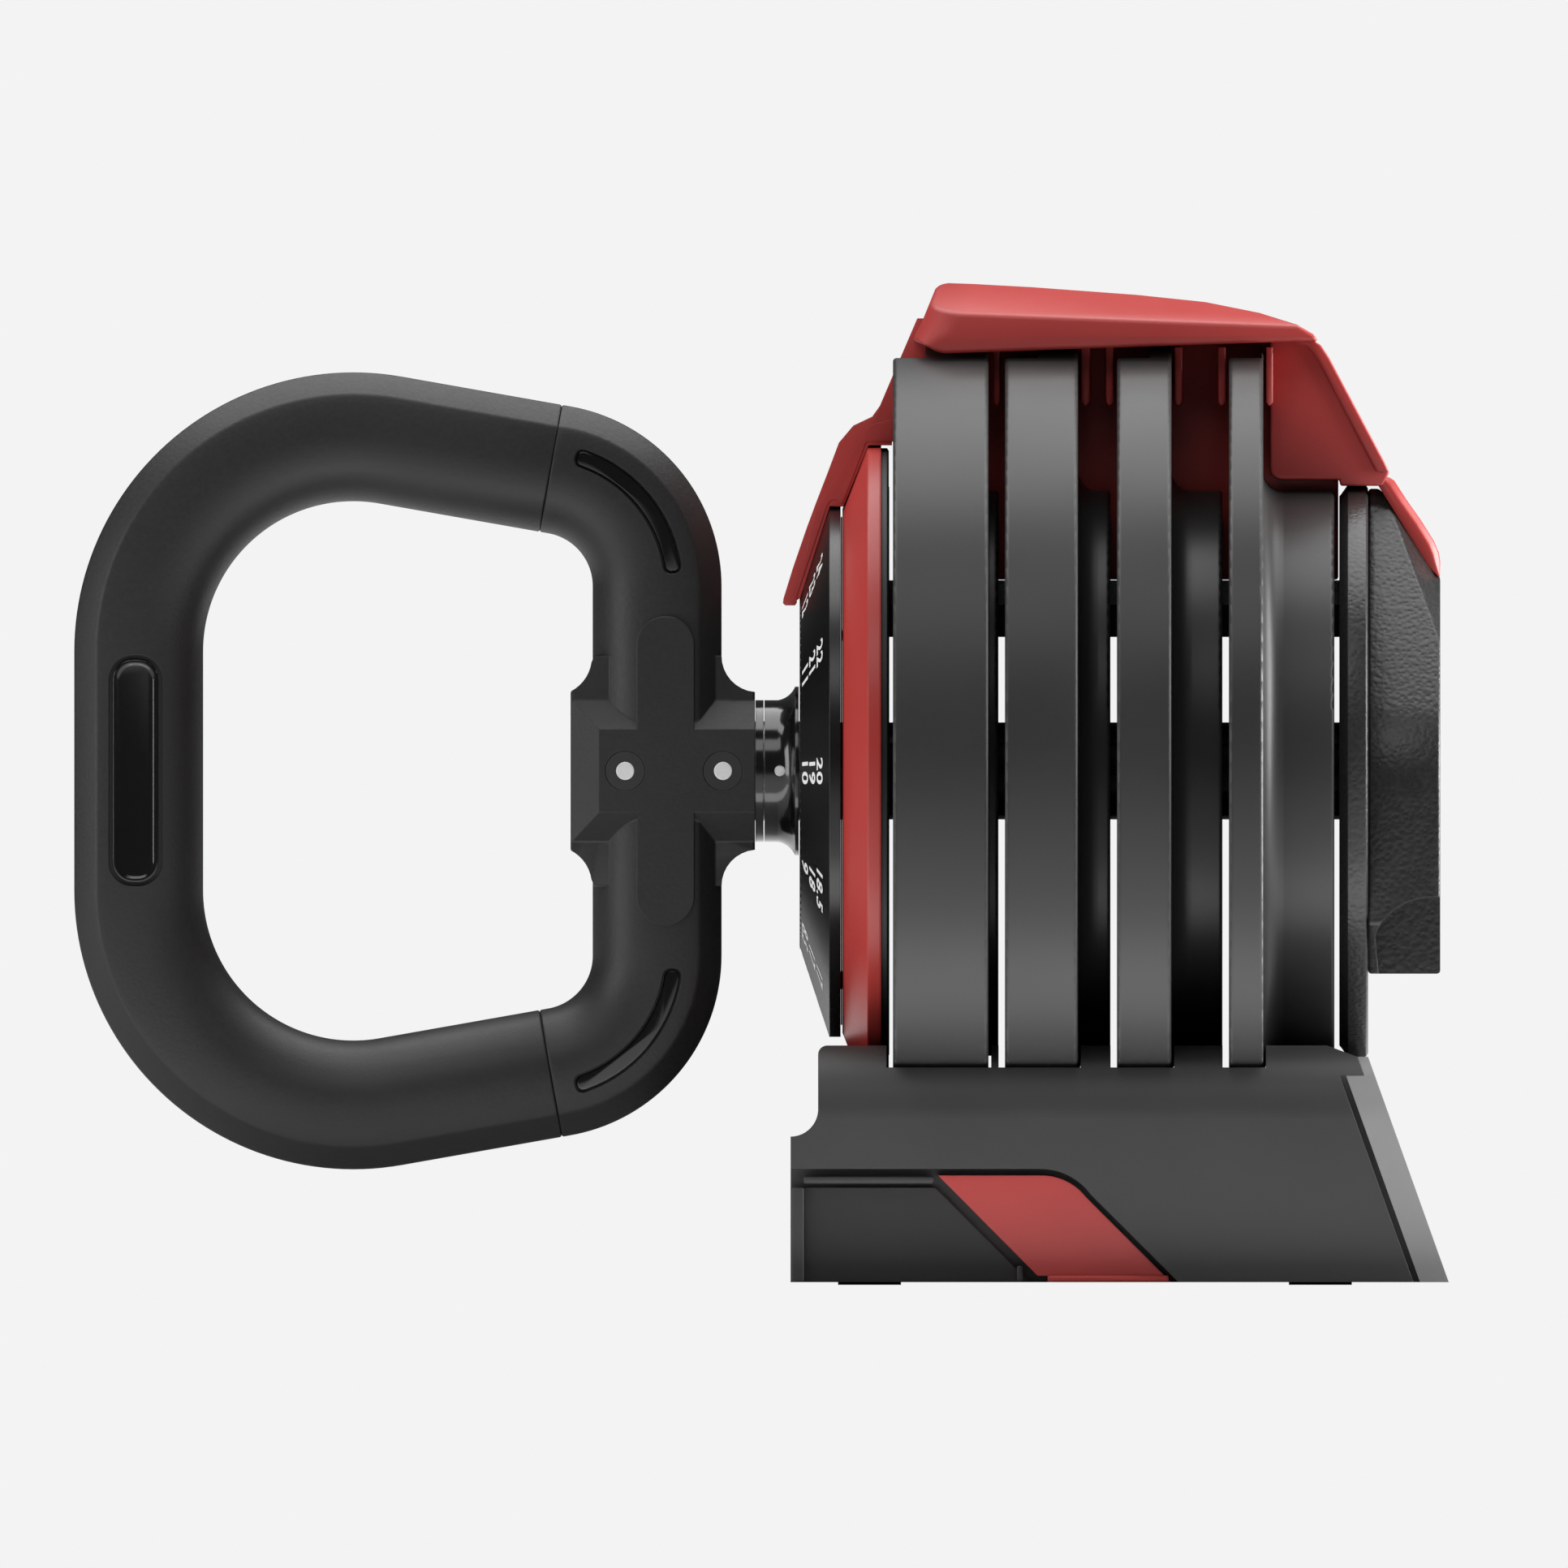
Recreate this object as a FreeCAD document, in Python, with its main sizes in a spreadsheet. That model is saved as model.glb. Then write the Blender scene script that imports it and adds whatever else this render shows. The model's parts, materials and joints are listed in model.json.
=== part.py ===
"""Adjustable kettlebell lying in its storage tray, as a parametric assembly of separate parts.

Frame: +Z up, +X from the handle to the end cap, -Y towards the side with the near grip label.
The origin is the centre of the bottom of the whole object, on the surface it stands on.
Head parts are drawn about the head axis and lifted to it by their placement.
"""
import FreeCAD, Part
import math
import os

import Sketcher

V = FreeCAD.Vector
ORIGIN = -1
H_AXIS = -1
V_AXIS = -2

# ---------------------------------------------------------------- driving dimensions, in mm and degrees
DIMENSIONS = {
    "axis_height": 114.0,
    # handle
    "tube_radius": 14.3,
    "chamfer_start": 9.4,
    "chamfer_edge_width": 13.2,
    "outer_flat_width": 8.0,
    "side_slope": 10.0,
    "bend_x": -90.5,
    "bend_height": 26.5,
    "bend_radius": 47.6,
    "corner_x": -49.3,
    "corner_radius": 26.2,
    "seam_lead": 2.0,
    "core_radius": 7.0,
    "boss_left": -42.3,
    "boss_right": -1.4,
    "boss_height": 17.5,
    "boss_blend": 8.0,
    "blend_overlap": 0.4,
    "boss_depth": 11.0,
    "pad_depth": 14.8,
    "pad_left": -36.0,
    "pad_half_height": 9.2,
    "arm_left": -27.5,
    "arm_right": -14.9,
    "arm_reach": 34.2,
    "pin_left_x": -30.2,
    "pin_right_x": -8.5,
    "pin_radius": 2.0,
    "washer_radius": 4.3,
    "washer_thickness": 1.2,
    "label_x": -138.8,
    "label_width": 10.1,
    "label_length": 49.5,
    "label_corner": 4.5,
    "label_margin": 0.9,
    "label_depth": 1.4,
    "inlay_radius": 29.6,
    "inlay_width": 3.0,
    "inlay_from": 8.0,
    "inlay_to": 72.0,
    # neck and spindle
    "spindle_radius": 11.0,
    "spindle_left": -34.0,
    "spindle_step": 9.0,
    "rod_radius": 4.7,
    "rod_end": 146.0,
    "neck_radius": 15.7,
    "neck_flare": 18.7,
    "neck_left": 0.7,
    "neck_right": 8.3,
    "ring_left": -1.3,
    "ring_right": 0.5,
    "neck_pin_x": 4.1,
    "neck_pin_radius": 1.2,
    # dial and selector
    "dial_front": 8.5,
    "dial_front_radius": 38.8,
    "dial_radius": 59.0,
    "dial_cone_end": 15.1,
    "dial_rim_end": 17.6,
    "dial_bowl_radius": 36.4,
    "dial_bowl_depth": 2.2,
    "dial_wall": 2.4,
    "dial_steps": 12,
    "lock_ring_inner": 49.0,
    "lock_notch_depth": 4.6,
    "lock_notch_width": 6.8,
    "tube_outer": 10.8,
    "tube_inner": 4.76,
    "tube_left": 9.4,
    "tube_right": 132.4,
    "end_play": 0.4,
    "spline_count": 12,
    "cam_radius": 24.0,
    "cam_ring_inner": 19.6,
    "cam_disc": 2.0,
    "cam_ring": 3.2,
    "cam_gap": 0.9,
    # head structure
    "front_left": 18.0,
    "front_face_radius": 58.1,
    "front_rim_radius": 72.4,
    "front_rim_start": 23.6,
    "front_right": 26.6,
    "liner_thickness": 1.8,
    "liner_radius": 63.0,
    "bush_radius": 14.0,
    "bush_clearance": 0.05,
    "web_half": 5.0,
    "rail_half": 10.8,
    "rail_low": 29.7,
    "rail_mid": 36.9,
    "rail_high": 42.3,
    "hood_half": 28.0,
    "flange_left": 128.2,
    "flange_step": 129.4,
    "flange_right": 134.6,
    "flange_radius": 63.5,
    "cap_right": 150.6,
    "cap_bottom": -45.0,
    "cap_top": 62.6,
    "cap_slope_x": 137.2,
    "cap_edge_height": 42.9,
    "cap_half": 54.0,
    "cap_corner": 11.0,
    "cap_shoulder": 35.0,
    "cap_shoulder_height": -6.0,
    "cap_roof": 37.0,
    "cap_wall": 3.5,
    "scoop_depth": 12.0,
    "scoop_top": -28.0,
    "nut_radius": 8.0,
    "nut_length": 7.0,
    # plates
    "plate_start": 29.2,
    "plate_pitch": 24.84,
    "plate_total": 23.4,
    "plate_radius": 95.0,
    "hub_radius": 63.2,
    "hub_fillet": 4.5,
    "edge_round": 0.8,
    "slot_half": 11.4,
    "cam_pocket_half": 25.2,
    "cam_pocket_depth": 7.2,
    "lug_height": -16.4,
    "lug_radius": 2.6,
    # tray
    "tray_left": 6.5,
    "tray_step_x": 12.6,
    "tray_right": 152.5,
    "tray_slope_x": 134.6,
    "tray_slope_z": 50.6,
    "tray_top_x": 125.5,
    "tray_top": 53.1,
    "tray_ledge": 32.9,
    "tray_half": 75.0,
    "tray_shoulder": 16.0,
    "tray_floor": 0.6,
    "tray_wall": 3.0,
    "tray_cavity": 14.0,
    "base_left": 10.5,
    "base_right": 138.0,
    "base_top": 3.5,
    "strip_width": 6.4,
    "strip_gap": 1.4,
    "trough_radius": 65.2,
    "groove_radius": 96.4,
    "groove_clearance": 0.6,
    "slit_width": 1.4,
    "front_groove_radius": 73.6,
    "recess_top": 25.7,
    "recess_arc_x": 61.6,
    "recess_right": 93.1,
    "recess_depth": 8.0,
    "panel_thickness": 3.0,
    "foot_radius": 7.0,
    "foot_height": 1.2,
    "end_panel_thickness": 2.4,
    "screw_radius": 2.0,
    "screw_head_radius": 3.6,
    # dial lock
    "plunger_x": 22.0,
    "plunger_half": 2.0,
    "plunger_width": 4.0,
    "plunger_low": -66.0,
    "plunger_high": -40.0,
    "foot_reach": 14.9,
    "foot_low": -48.4,
    "foot_top": -44.4,
    "channel_clearance": 0.35,
    "plunger_travel": 4.0,
}

RIM_THICKNESS = (21.2, 16.2, 12.1, 7.6)
FOOT_PLACES = ((24, 50), (24, -50), (124, 50), (124, -50))
TRAY_SCREW_PLACES = ((40, 40), (40, -40), (110, 40), (110, -40))
CAP_SCREW_PLACES = ((32, 8), (-32, 8), (32, -26), (-32, -26))

# The plates held at each of the twelve dial settings, from the heaviest to the lightest.
HELD_AT_SETTING = (
    (1, 2, 3, 4), (1, 2, 3), (1, 2, 4), (1, 3, 4), (2, 3, 4), (1, 2),
    (1, 3), (1, 4), (2, 3), (2, 4), (3, 4), (),
)


def plate_left(number):
    return D.plate_start + D.plate_pitch * (number - 1)

document = FreeCAD.newDocument("Kettlebell")
sheet = document.addObject("Spreadsheet::Sheet", "Sizes")


class Size:
    """A number together with the spreadsheet expression that drives it."""

    def __init__(self, value, text):
        self.value = value
        self.text = text

    def __add__(self, other):
        other = as_size(other)
        return Size(self.value + other.value, f"({self.text} + {other.text})")

    def __radd__(self, other):
        return as_size(other) + self

    def __sub__(self, other):
        other = as_size(other)
        return Size(self.value - other.value, f"({self.text} - {other.text})")

    def __rsub__(self, other):
        return as_size(other) - self

    def __mul__(self, other):
        other = as_size(other)
        return Size(self.value * other.value, f"({self.text} * {other.text})")

    def __rmul__(self, other):
        return as_size(other) * self

    def __truediv__(self, other):
        other = as_size(other)
        return Size(self.value / other.value, f"({self.text} / {other.text})")

    def __neg__(self):
        return Size(-self.value, f"(-1 * {self.text})")


def as_size(number):
    return number if isinstance(number, Size) else Size(float(number), f"{float(number):.6g}")


def cosine(angle):
    return Size(math.cos(math.radians(angle.value)), f"cos({angle.text} * 1 deg)")


def sine(angle):
    return Size(math.sin(math.radians(angle.value)), f"sin({angle.text} * 1 deg)")


class Sizes:
    """The driving dimensions by name, each bound to its spreadsheet cell."""


D = Sizes()
for row, (name, value) in enumerate(DIMENSIONS.items(), start=1):
    sheet.set(f"A{row}", name)
    sheet.set(f"B{row}", str(value))
    sheet.setAlias(f"B{row}", name)
    setattr(D, name, Size(value, f"Sizes.{name}"))
for index, thickness in enumerate(RIM_THICKNESS, start=1):
    cell = f"B{len(DIMENSIONS) + index}"
    sheet.set(cell, str(thickness))
    sheet.setAlias(cell, f"rim_{index}_thickness")
    setattr(D, f"rim_{index}_thickness", Size(thickness, f"Sizes.rim_{index}_thickness"))
document.recompute()

parts = []


# ---------------------------------------------------------------- drawing helpers
class Arc:
    """A round stretch between two corners: positive turns left, negative turns right."""

    def __init__(self, radius):
        self.radius = as_size(radius)


def new_part(label, on_axis=True):
    """A body named label, lifted to the head axis when it belongs to the head."""
    body = document.addObject("PartDesign::Body", label)
    body.Label = label
    if on_axis:
        body.setExpression(".Placement.Base.z", D.axis_height.text)
    parts.append(body)
    return body


def sketch_on(body, plane, offset=None):
    sketch = body.newObject("Sketcher::SketchObject", "Sketch")
    roles = {feature.Role: feature for feature in body.Origin.OriginFeatures}
    sketch.AttachmentSupport = [(roles[f"{plane}_Plane"], "")]
    sketch.MapMode = "FlatFace"
    if offset is not None:
        sketch.setExpression("AttachmentOffset.Base.z", as_size(offset).text)
    return sketch


def bind(sketch, kind, first, first_point, second, second_point, size):
    """A distance constraint driven by the expression of its size."""
    index = sketch.addConstraint(
        Sketcher.Constraint(kind, first, first_point, second, second_point, size.value)
    )
    sketch.setExpression(f"Constraints[{index}]", size.text)


def bind_radius(sketch, edge, size):
    index = sketch.addConstraint(Sketcher.Constraint("Radius", edge, size.value))
    sketch.setExpression(f"Constraints[{index}]", size.text)


def fix_point(sketch, edge, point, place):
    """Hold one point of the sketch at place, measured from the sketch's origin."""
    for kind, axis, size in (("DistanceX", V_AXIS, place[0]), ("DistanceY", H_AXIS, place[1])):
        if size.value == 0:
            sketch.addConstraint(Sketcher.Constraint("PointOnObject", edge, point, axis))
        else:
            bind(sketch, kind, ORIGIN, 1, edge, point, size)


def arc_between(start, end, radius):
    """The shorter arc from start to end, and the sketch points at its start and end."""
    chord = end - start
    half = chord.Length / 2
    height = math.sqrt(max(radius * radius - half * half, 0.0))
    left = V(-chord.y, chord.x, 0).normalize()
    side = 1 if radius > 0 else -1
    centre = (start + end) / 2 + left * height * side
    circle = Part.Circle(centre, V(0, 0, 1), abs(radius))
    first, last = (start, end) if side > 0 else (end, start)
    from_angle = math.atan2(first.y - centre.y, first.x - centre.x)
    to_angle = math.atan2(last.y - centre.y, last.x - centre.x)
    if to_angle <= from_angle:
        to_angle += 2 * math.pi
    points = (1, 2) if side > 0 else (2, 1)
    return Part.ArcOfCircle(circle, from_angle, to_angle), points, height < 1e-6


def outline(sketch, *items, closed=True):
    """Draw corners (x, y) in order, joined by lines, or by an Arc where one stands between them."""
    corners = []
    bends = {}
    for item in items:
        if isinstance(item, Arc):
            bends[len(corners) - 1] = item.radius
        else:
            corners.append((as_size(item[0]), as_size(item[1])))
    spans = len(corners) if closed else len(corners) - 1
    ends = []
    for index in range(spans):
        here = corners[index]
        there = corners[(index + 1) % len(corners)]
        start = V(here[0].value, here[1].value, 0)
        end = V(there[0].value, there[1].value, 0)
        if index in bends:
            geometry, points, half_turn = arc_between(start, end, bends[index].value)
        else:
            geometry, points, half_turn = Part.LineSegment(start, end), (1, 2), False
        edge = sketch.addGeometry(geometry, False)
        ends.append((edge, *points))
        fix_point(sketch, edge, points[0], here)
        if index in bends and half_turn:
            sketch.addConstraint(Sketcher.Constraint("Symmetric", edge, 1, edge, 2, edge, 3))
        elif index in bends:
            radius = bends[index] if bends[index].value > 0 else -bends[index]
            bind_radius(sketch, edge, radius)
    for index in range(spans - 1):
        before, after = ends[index], ends[index + 1]
        sketch.addConstraint(Sketcher.Constraint("Coincident", before[0], before[2], after[0], after[1]))
    if closed:
        before, after = ends[-1], ends[0]
        sketch.addConstraint(Sketcher.Constraint("Coincident", before[0], before[2], after[0], after[1]))
    else:
        fix_point(sketch, ends[-1][0], ends[-1][2], corners[-1])


def circle(sketch, centre, radius):
    centre = (as_size(centre[0]), as_size(centre[1]))
    radius = as_size(radius)
    edge = sketch.addGeometry(
        Part.Circle(V(centre[0].value, centre[1].value, 0), V(0, 0, 1), radius.value), False
    )
    fix_point(sketch, edge, 3, centre)
    bind_radius(sketch, edge, radius)


def rectangle(sketch, left, low, right, high):
    outline(sketch, (left, low), (right, low), (right, high), (left, high))


def rounded_slot(sketch, centre, half_width, half_length):
    """An upright slot with round ends, half_length from its centre to each end."""
    x, y = as_size(centre[0]), as_size(centre[1])
    straight = as_size(half_length) - half_width
    outline(
        sketch,
        (x - half_width, y + straight), (x - half_width, y - straight), Arc(half_width),
        (x + half_width, y - straight), (x + half_width, y + straight), Arc(half_width),
    )


def rounded_rectangle(sketch, centre, half_width, half_height, corner):
    x, y = as_size(centre[0]), as_size(centre[1])
    wide, high, corner = as_size(half_width), as_size(half_height), as_size(corner)
    outline(
        sketch,
        (x - wide + corner, y - high), (x + wide - corner, y - high), Arc(corner),
        (x + wide, y - high + corner), (x + wide, y + high - corner), Arc(corner),
        (x + wide - corner, y + high), (x - wide + corner, y + high), Arc(corner),
        (x - wide, y + high - corner), (x - wide, y - high + corner), Arc(corner),
    )


# ---------------------------------------------------------------- feature helpers
def extrude(body, kind, sketch, length, both=False, back=False):
    """A Pad or Pocket of length; both spreads it to either side of the sketch."""
    feature = body.newObject(f"PartDesign::{kind}", kind)
    feature.Profile = sketch
    feature.setExpression("Length", as_size(length).text)
    feature.SideType = "Symmetric" if both else "One side"
    feature.Reversed = back
    return feature


def pad(body, sketch, length, **options):
    return extrude(body, "Pad", sketch, length, **options)


def cut(body, sketch, length, **options):
    return extrude(body, "Pocket", sketch, length, **options)


def cut_through(body, sketch):
    """A pocket through everything, to either side of the sketch."""
    feature = body.newObject("PartDesign::Pocket", "Pocket")
    feature.Profile = sketch
    feature.SideType = "Symmetric"
    feature.Type = "ThroughAll"
    return feature


def turn(body, sketch):
    """Turn a half profile about the axis it is drawn above."""
    feature = body.newObject("PartDesign::Revolution", "Revolution")
    feature.Profile = sketch
    feature.ReferenceAxis = (sketch, ["H_Axis"])
    feature.Angle = 360


def around(body, feature, count):
    """Repeat a feature evenly about the head axis."""
    roles = {item.Role: item for item in body.Origin.OriginFeatures}
    pattern = body.newObject("PartDesign::PolarPattern", "PolarPattern")
    pattern.Originals = [feature]
    pattern.Axis = (roles["X_Axis"], [""])
    pattern.Angle = 360
    pattern.setExpression("Occurrences", as_size(count).text)
    body.Tip = pattern


def disc(label, left, right, radius, bore=0):
    """A round piece on the head axis between two places along it."""
    body = new_part(label)
    sketch = sketch_on(body, "XZ")
    rectangle(sketch, left, bore, right, radius)
    turn(body, sketch)
    return body


# ---------------------------------------------------------------- handle
slope_cosine = cosine(D.side_slope)
slope_sine = sine(D.side_slope)
grip_x = D.bend_x - D.bend_radius
bar_x = D.corner_x + D.corner_radius
bend_end = (D.bend_x + D.bend_radius * slope_sine, D.bend_height + D.bend_radius * slope_cosine)
corner_start_x = D.corner_x + D.corner_radius * slope_sine
corner_start_z = bend_end[1] + (bend_end[0] - corner_start_x) * slope_sine / slope_cosine
corner_height = corner_start_z - D.corner_radius * slope_cosine
seam = (corner_start_x - D.seam_lead * slope_cosine, corner_start_z + D.seam_lead * slope_sine)
core_end = D.spindle_radius + 1.5


def grip_section(sketch, centre_x, outward):
    """Grip cross-section: a half round inside, two chamfers and a flat outside."""
    rise = D.tube_radius - D.chamfer_edge_width
    gentle = (D.chamfer_start * D.chamfer_start + rise * rise) / (rise * 2)
    edge = centre_x + D.chamfer_start * outward
    flat = centre_x + D.tube_radius * outward
    outline(
        sketch,
        (centre_x, D.tube_radius), Arc(gentle * -outward),
        (edge, D.chamfer_edge_width), (flat, D.outer_flat_width),
        (flat, -D.outer_flat_width), (edge, -D.chamfer_edge_width), Arc(gentle * -outward),
        (centre_x, -D.tube_radius), Arc(D.tube_radius * -outward),
    )


def pipe(body, section, path, kind="AdditivePipe"):
    feature = body.newObject(f"PartDesign::{kind}", kind)
    feature.Profile = section
    feature.Spine = path
    return feature


def mirror(body, feature, plane):
    roles = {item.Role: item for item in body.Origin.OriginFeatures}
    mirrored = body.newObject("PartDesign::Mirrored", "Mirrored")
    mirrored.Originals = [feature]
    mirrored.MirrorPlane = (roles[f"{plane}_Plane"], [""])
    body.Tip = mirrored


def upper_arch_path(sketch):
    outline(
        sketch,
        (grip_x, 0), (grip_x, D.bend_height), Arc(-D.bend_radius),
        bend_end, seam, closed=False,
    )


def cut_faces(body, draw_shape, depth):
    """Sink a shape into the near and far faces, to the given distance from the middle plane."""
    sketch = sketch_on(body, "XZ", depth)
    draw_shape(sketch)
    pocket = cut(body, sketch, 10, back=True)
    mirror(body, pocket, "XZ")


def make_grip_arch():
    body = new_part("grip_arch")
    section = sketch_on(body, "XY")
    grip_section(section, grip_x, -1)
    path = sketch_on(body, "XZ")
    upper_arch_path(path)
    mirror(body, pipe(body, section, path), "XY")
    hollow = sketch_on(body, "XY")
    circle(hollow, (grip_x, 0), D.core_radius)
    bore = pipe(body, hollow, path, "SubtractivePipe")
    mirror(body, bore, "XY")
    half_width = D.label_width / 2 + D.label_margin
    half_length = D.label_length / 2 + D.label_margin
    corner = D.label_corner + D.label_margin
    depth = D.tube_radius - D.label_depth
    cut_faces(
        body, lambda s: rounded_rectangle(s, (D.label_x, 0), half_width, half_length, corner), depth
    )


def make_grip_core():
    """Steel bar running through the whole D ring, from one side of the spindle to the other."""
    body = new_part("grip_core")
    section = sketch_on(body, "XY")
    circle(section, (grip_x, 0), D.core_radius)
    path = sketch_on(body, "XZ")
    outline(
        path,
        (grip_x, 0), (grip_x, D.bend_height), Arc(-D.bend_radius), bend_end,
        (corner_start_x, corner_start_z), Arc(-D.corner_radius),
        (bar_x, corner_height), (bar_x, core_end), closed=False,
    )
    mirror(body, pipe(body, section, path), "XY")


def inlay_outline(sketch, upward):
    """Bent slot along a corner of the yoke; upward is 1 for the upper corner, -1 for the lower."""
    outer = D.inlay_radius + D.inlay_width / 2
    inner = D.inlay_radius - D.inlay_width / 2
    first, last = (D.inlay_from, D.inlay_to) if upward > 0 else (-D.inlay_to, -D.inlay_from)
    height = corner_height * upward
    outline(
        sketch,
        (D.corner_x + outer * cosine(first), height + outer * sine(first)), Arc(outer),
        (D.corner_x + outer * cosine(last), height + outer * sine(last)), Arc(D.inlay_width / 2),
        (D.corner_x + inner * cosine(last), height + inner * sine(last)), Arc(-inner),
        (D.corner_x + inner * cosine(first), height + inner * sine(first)), Arc(D.inlay_width / 2),
    )


def yoke_half_path(sketch, start):
    outline(
        sketch,
        (bar_x, start), (bar_x, corner_height), Arc(D.corner_radius),
        (corner_start_x, corner_start_z), seam, closed=False,
    )


def make_grip_yoke():
    body = new_part("grip_yoke")
    section = sketch_on(body, "XY")
    grip_section(section, bar_x, 1)
    path = sketch_on(body, "XZ")
    yoke_half_path(path, as_size(0))
    mirror(body, pipe(body, section, path), "XY")
    boss = sketch_on(body, "YZ", D.boss_left)
    side = D.boss_depth - 3
    outline(
        boss,
        (-side, -D.boss_height), (side, -D.boss_height), (D.pad_depth, -D.pad_half_height),
        (D.pad_depth, D.pad_half_height), (side, D.boss_height), (-side, D.boss_height),
        (-D.pad_depth, D.pad_half_height), (-D.pad_depth, -D.pad_half_height),
    )
    pad(body, boss, D.boss_right - D.boss_left)
    bevel = sketch_on(body, "XY")
    for near in (1, -1):
        outline(
            bevel,
            (D.boss_left - 1, side * near), (D.pad_left, D.pad_depth * near),
            (D.pad_left, (D.pad_depth + 2) * near), (D.boss_left - 1, (D.pad_depth + 2) * near),
        )
    cut(body, bevel, D.boss_height * 2, both=True)
    blend = sketch_on(body, "XZ")
    bar_left = bar_x - D.tube_radius + D.blend_overlap
    bar_right = bar_x + D.tube_radius
    start = D.boss_height + D.boss_blend
    outline(
        blend,
        (bar_left, -start), (bar_right, -start), Arc(-D.boss_blend),
        (D.boss_right, -D.boss_height), (D.boss_right, D.boss_height), Arc(-D.boss_blend),
        (bar_right, start), (bar_left, start), Arc(-D.boss_blend),
        (D.boss_left, D.boss_height), (D.boss_left, -D.boss_height), Arc(-D.boss_blend),
    )
    pad(body, blend, side * 2, both=True)
    arm = sketch_on(body, "XZ")
    middle = (D.arm_left + D.arm_right) / 2
    rounded_slot(arm, (middle, 0), (D.arm_right - D.arm_left) / 2, D.arm_reach)
    pad(body, arm, D.pad_depth * 2, both=True)
    bore_section = sketch_on(body, "XY", core_end)
    circle(bore_section, (bar_x, 0), D.core_radius)
    bore_path = sketch_on(body, "XZ")
    yoke_half_path(bore_path, core_end)
    mirror(body, pipe(body, bore_section, bore_path, "SubtractivePipe"), "XY")
    socket = sketch_on(body, "YZ", D.spindle_left)
    circle(socket, (0, 0), D.spindle_radius)
    cut(body, socket, D.boss_right - D.spindle_left, back=True)
    holes = sketch_on(body, "XZ")
    circle(holes, (D.pin_left_x, 0), D.pin_radius)
    circle(holes, (D.pin_right_x, 0), D.pin_radius)
    cut_through(body, holes)
    seat_depth = D.pad_depth - D.washer_thickness
    for place in (D.pin_left_x, D.pin_right_x):
        cut_faces(body, lambda s, x=place: circle(s, (x, 0), D.washer_radius), seat_depth)
    for upward in (1, -1):
        cut_faces(body, lambda s, u=upward: inlay_outline(s, u), D.tube_radius - D.label_depth)


def face_pieces(label, draw_shape, inner, outer):
    """Thin pieces of one outline, one in the near face and one in the far face."""
    body = new_part(label)
    body.AllowCompound = True
    sketch = sketch_on(body, "XZ", inner)
    draw_shape(sketch)
    mirror(body, pad(body, sketch, outer - inner), "XZ")


def make_grip_trim():
    floor = D.tube_radius - D.label_depth
    half_width = D.label_width / 2
    half_length = D.label_length / 2
    face_pieces(
        "grip_labels",
        lambda s: rounded_rectangle(s, (D.label_x, 0), half_width, half_length, D.label_corner),
        floor, D.tube_radius - 0.35,
    )
    for name, upward in (("upper", 1), ("lower", -1)):
        face_pieces(
            f"yoke_inlays_{name}", lambda s, u=upward: inlay_outline(s, u),
            floor, D.tube_radius - 0.6,
        )


def make_pins():
    seat = D.pad_depth - D.washer_thickness
    for name, place in (("socket", D.pin_left_x), ("retaining", D.pin_right_x)):
        pin = new_part(f"{name}_pin")
        sketch = sketch_on(pin, "XZ")
        circle(sketch, (place, 0), D.pin_radius)
        pad(pin, sketch, D.pad_depth * 2, both=True)

        def washer(s, x=place):
            circle(s, (x, 0), D.washer_radius)
            circle(s, (x, 0), D.pin_radius)

        face_pieces(f"{name}_pin_washers", washer, seat, D.pad_depth)


# ---------------------------------------------------------------- neck and spindle
def make_spindle():
    """Steel bar that carries the load: thick in the neck, then a thin rod through the head."""
    body = new_part("spindle")
    sketch = sketch_on(body, "XZ")
    outline(
        sketch,
        (D.spindle_left, 0), (D.rod_end, 0), (D.rod_end, D.rod_radius),
        (D.spindle_step, D.rod_radius), (D.spindle_step, D.spindle_radius),
        (D.spindle_left, D.spindle_radius),
    )
    turn(body, sketch)
    holes = sketch_on(body, "XZ")
    circle(holes, (D.pin_left_x, 0), D.pin_radius)
    circle(holes, (D.pin_right_x, 0), D.pin_radius)
    circle(holes, (D.neck_pin_x, 0), D.neck_pin_radius)
    cut_through(body, holes)


def make_neck():
    disc("neck_ring", D.ring_left, D.ring_right, D.neck_radius, D.spindle_radius)
    body = new_part("neck_collar")
    sketch = sketch_on(body, "XZ")
    outline(
        sketch,
        (D.neck_left, D.spindle_radius), (D.neck_right, D.spindle_radius),
        (D.neck_right, D.neck_flare), (D.neck_right - 0.8, D.neck_flare), Arc(-5),
        (D.neck_left + 3, D.neck_radius), (D.neck_left, D.neck_radius),
    )
    turn(body, sketch)
    hole = sketch_on(body, "XZ")
    circle(hole, (D.neck_pin_x, 0), D.neck_pin_radius)
    cut_through(body, hole)
    pin = new_part("neck_pin")
    sketch = sketch_on(pin, "XZ")
    circle(sketch, (D.neck_pin_x, 0), D.neck_pin_radius)
    pad(pin, sketch, (D.neck_radius - 0.1) * 2, both=True)


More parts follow.
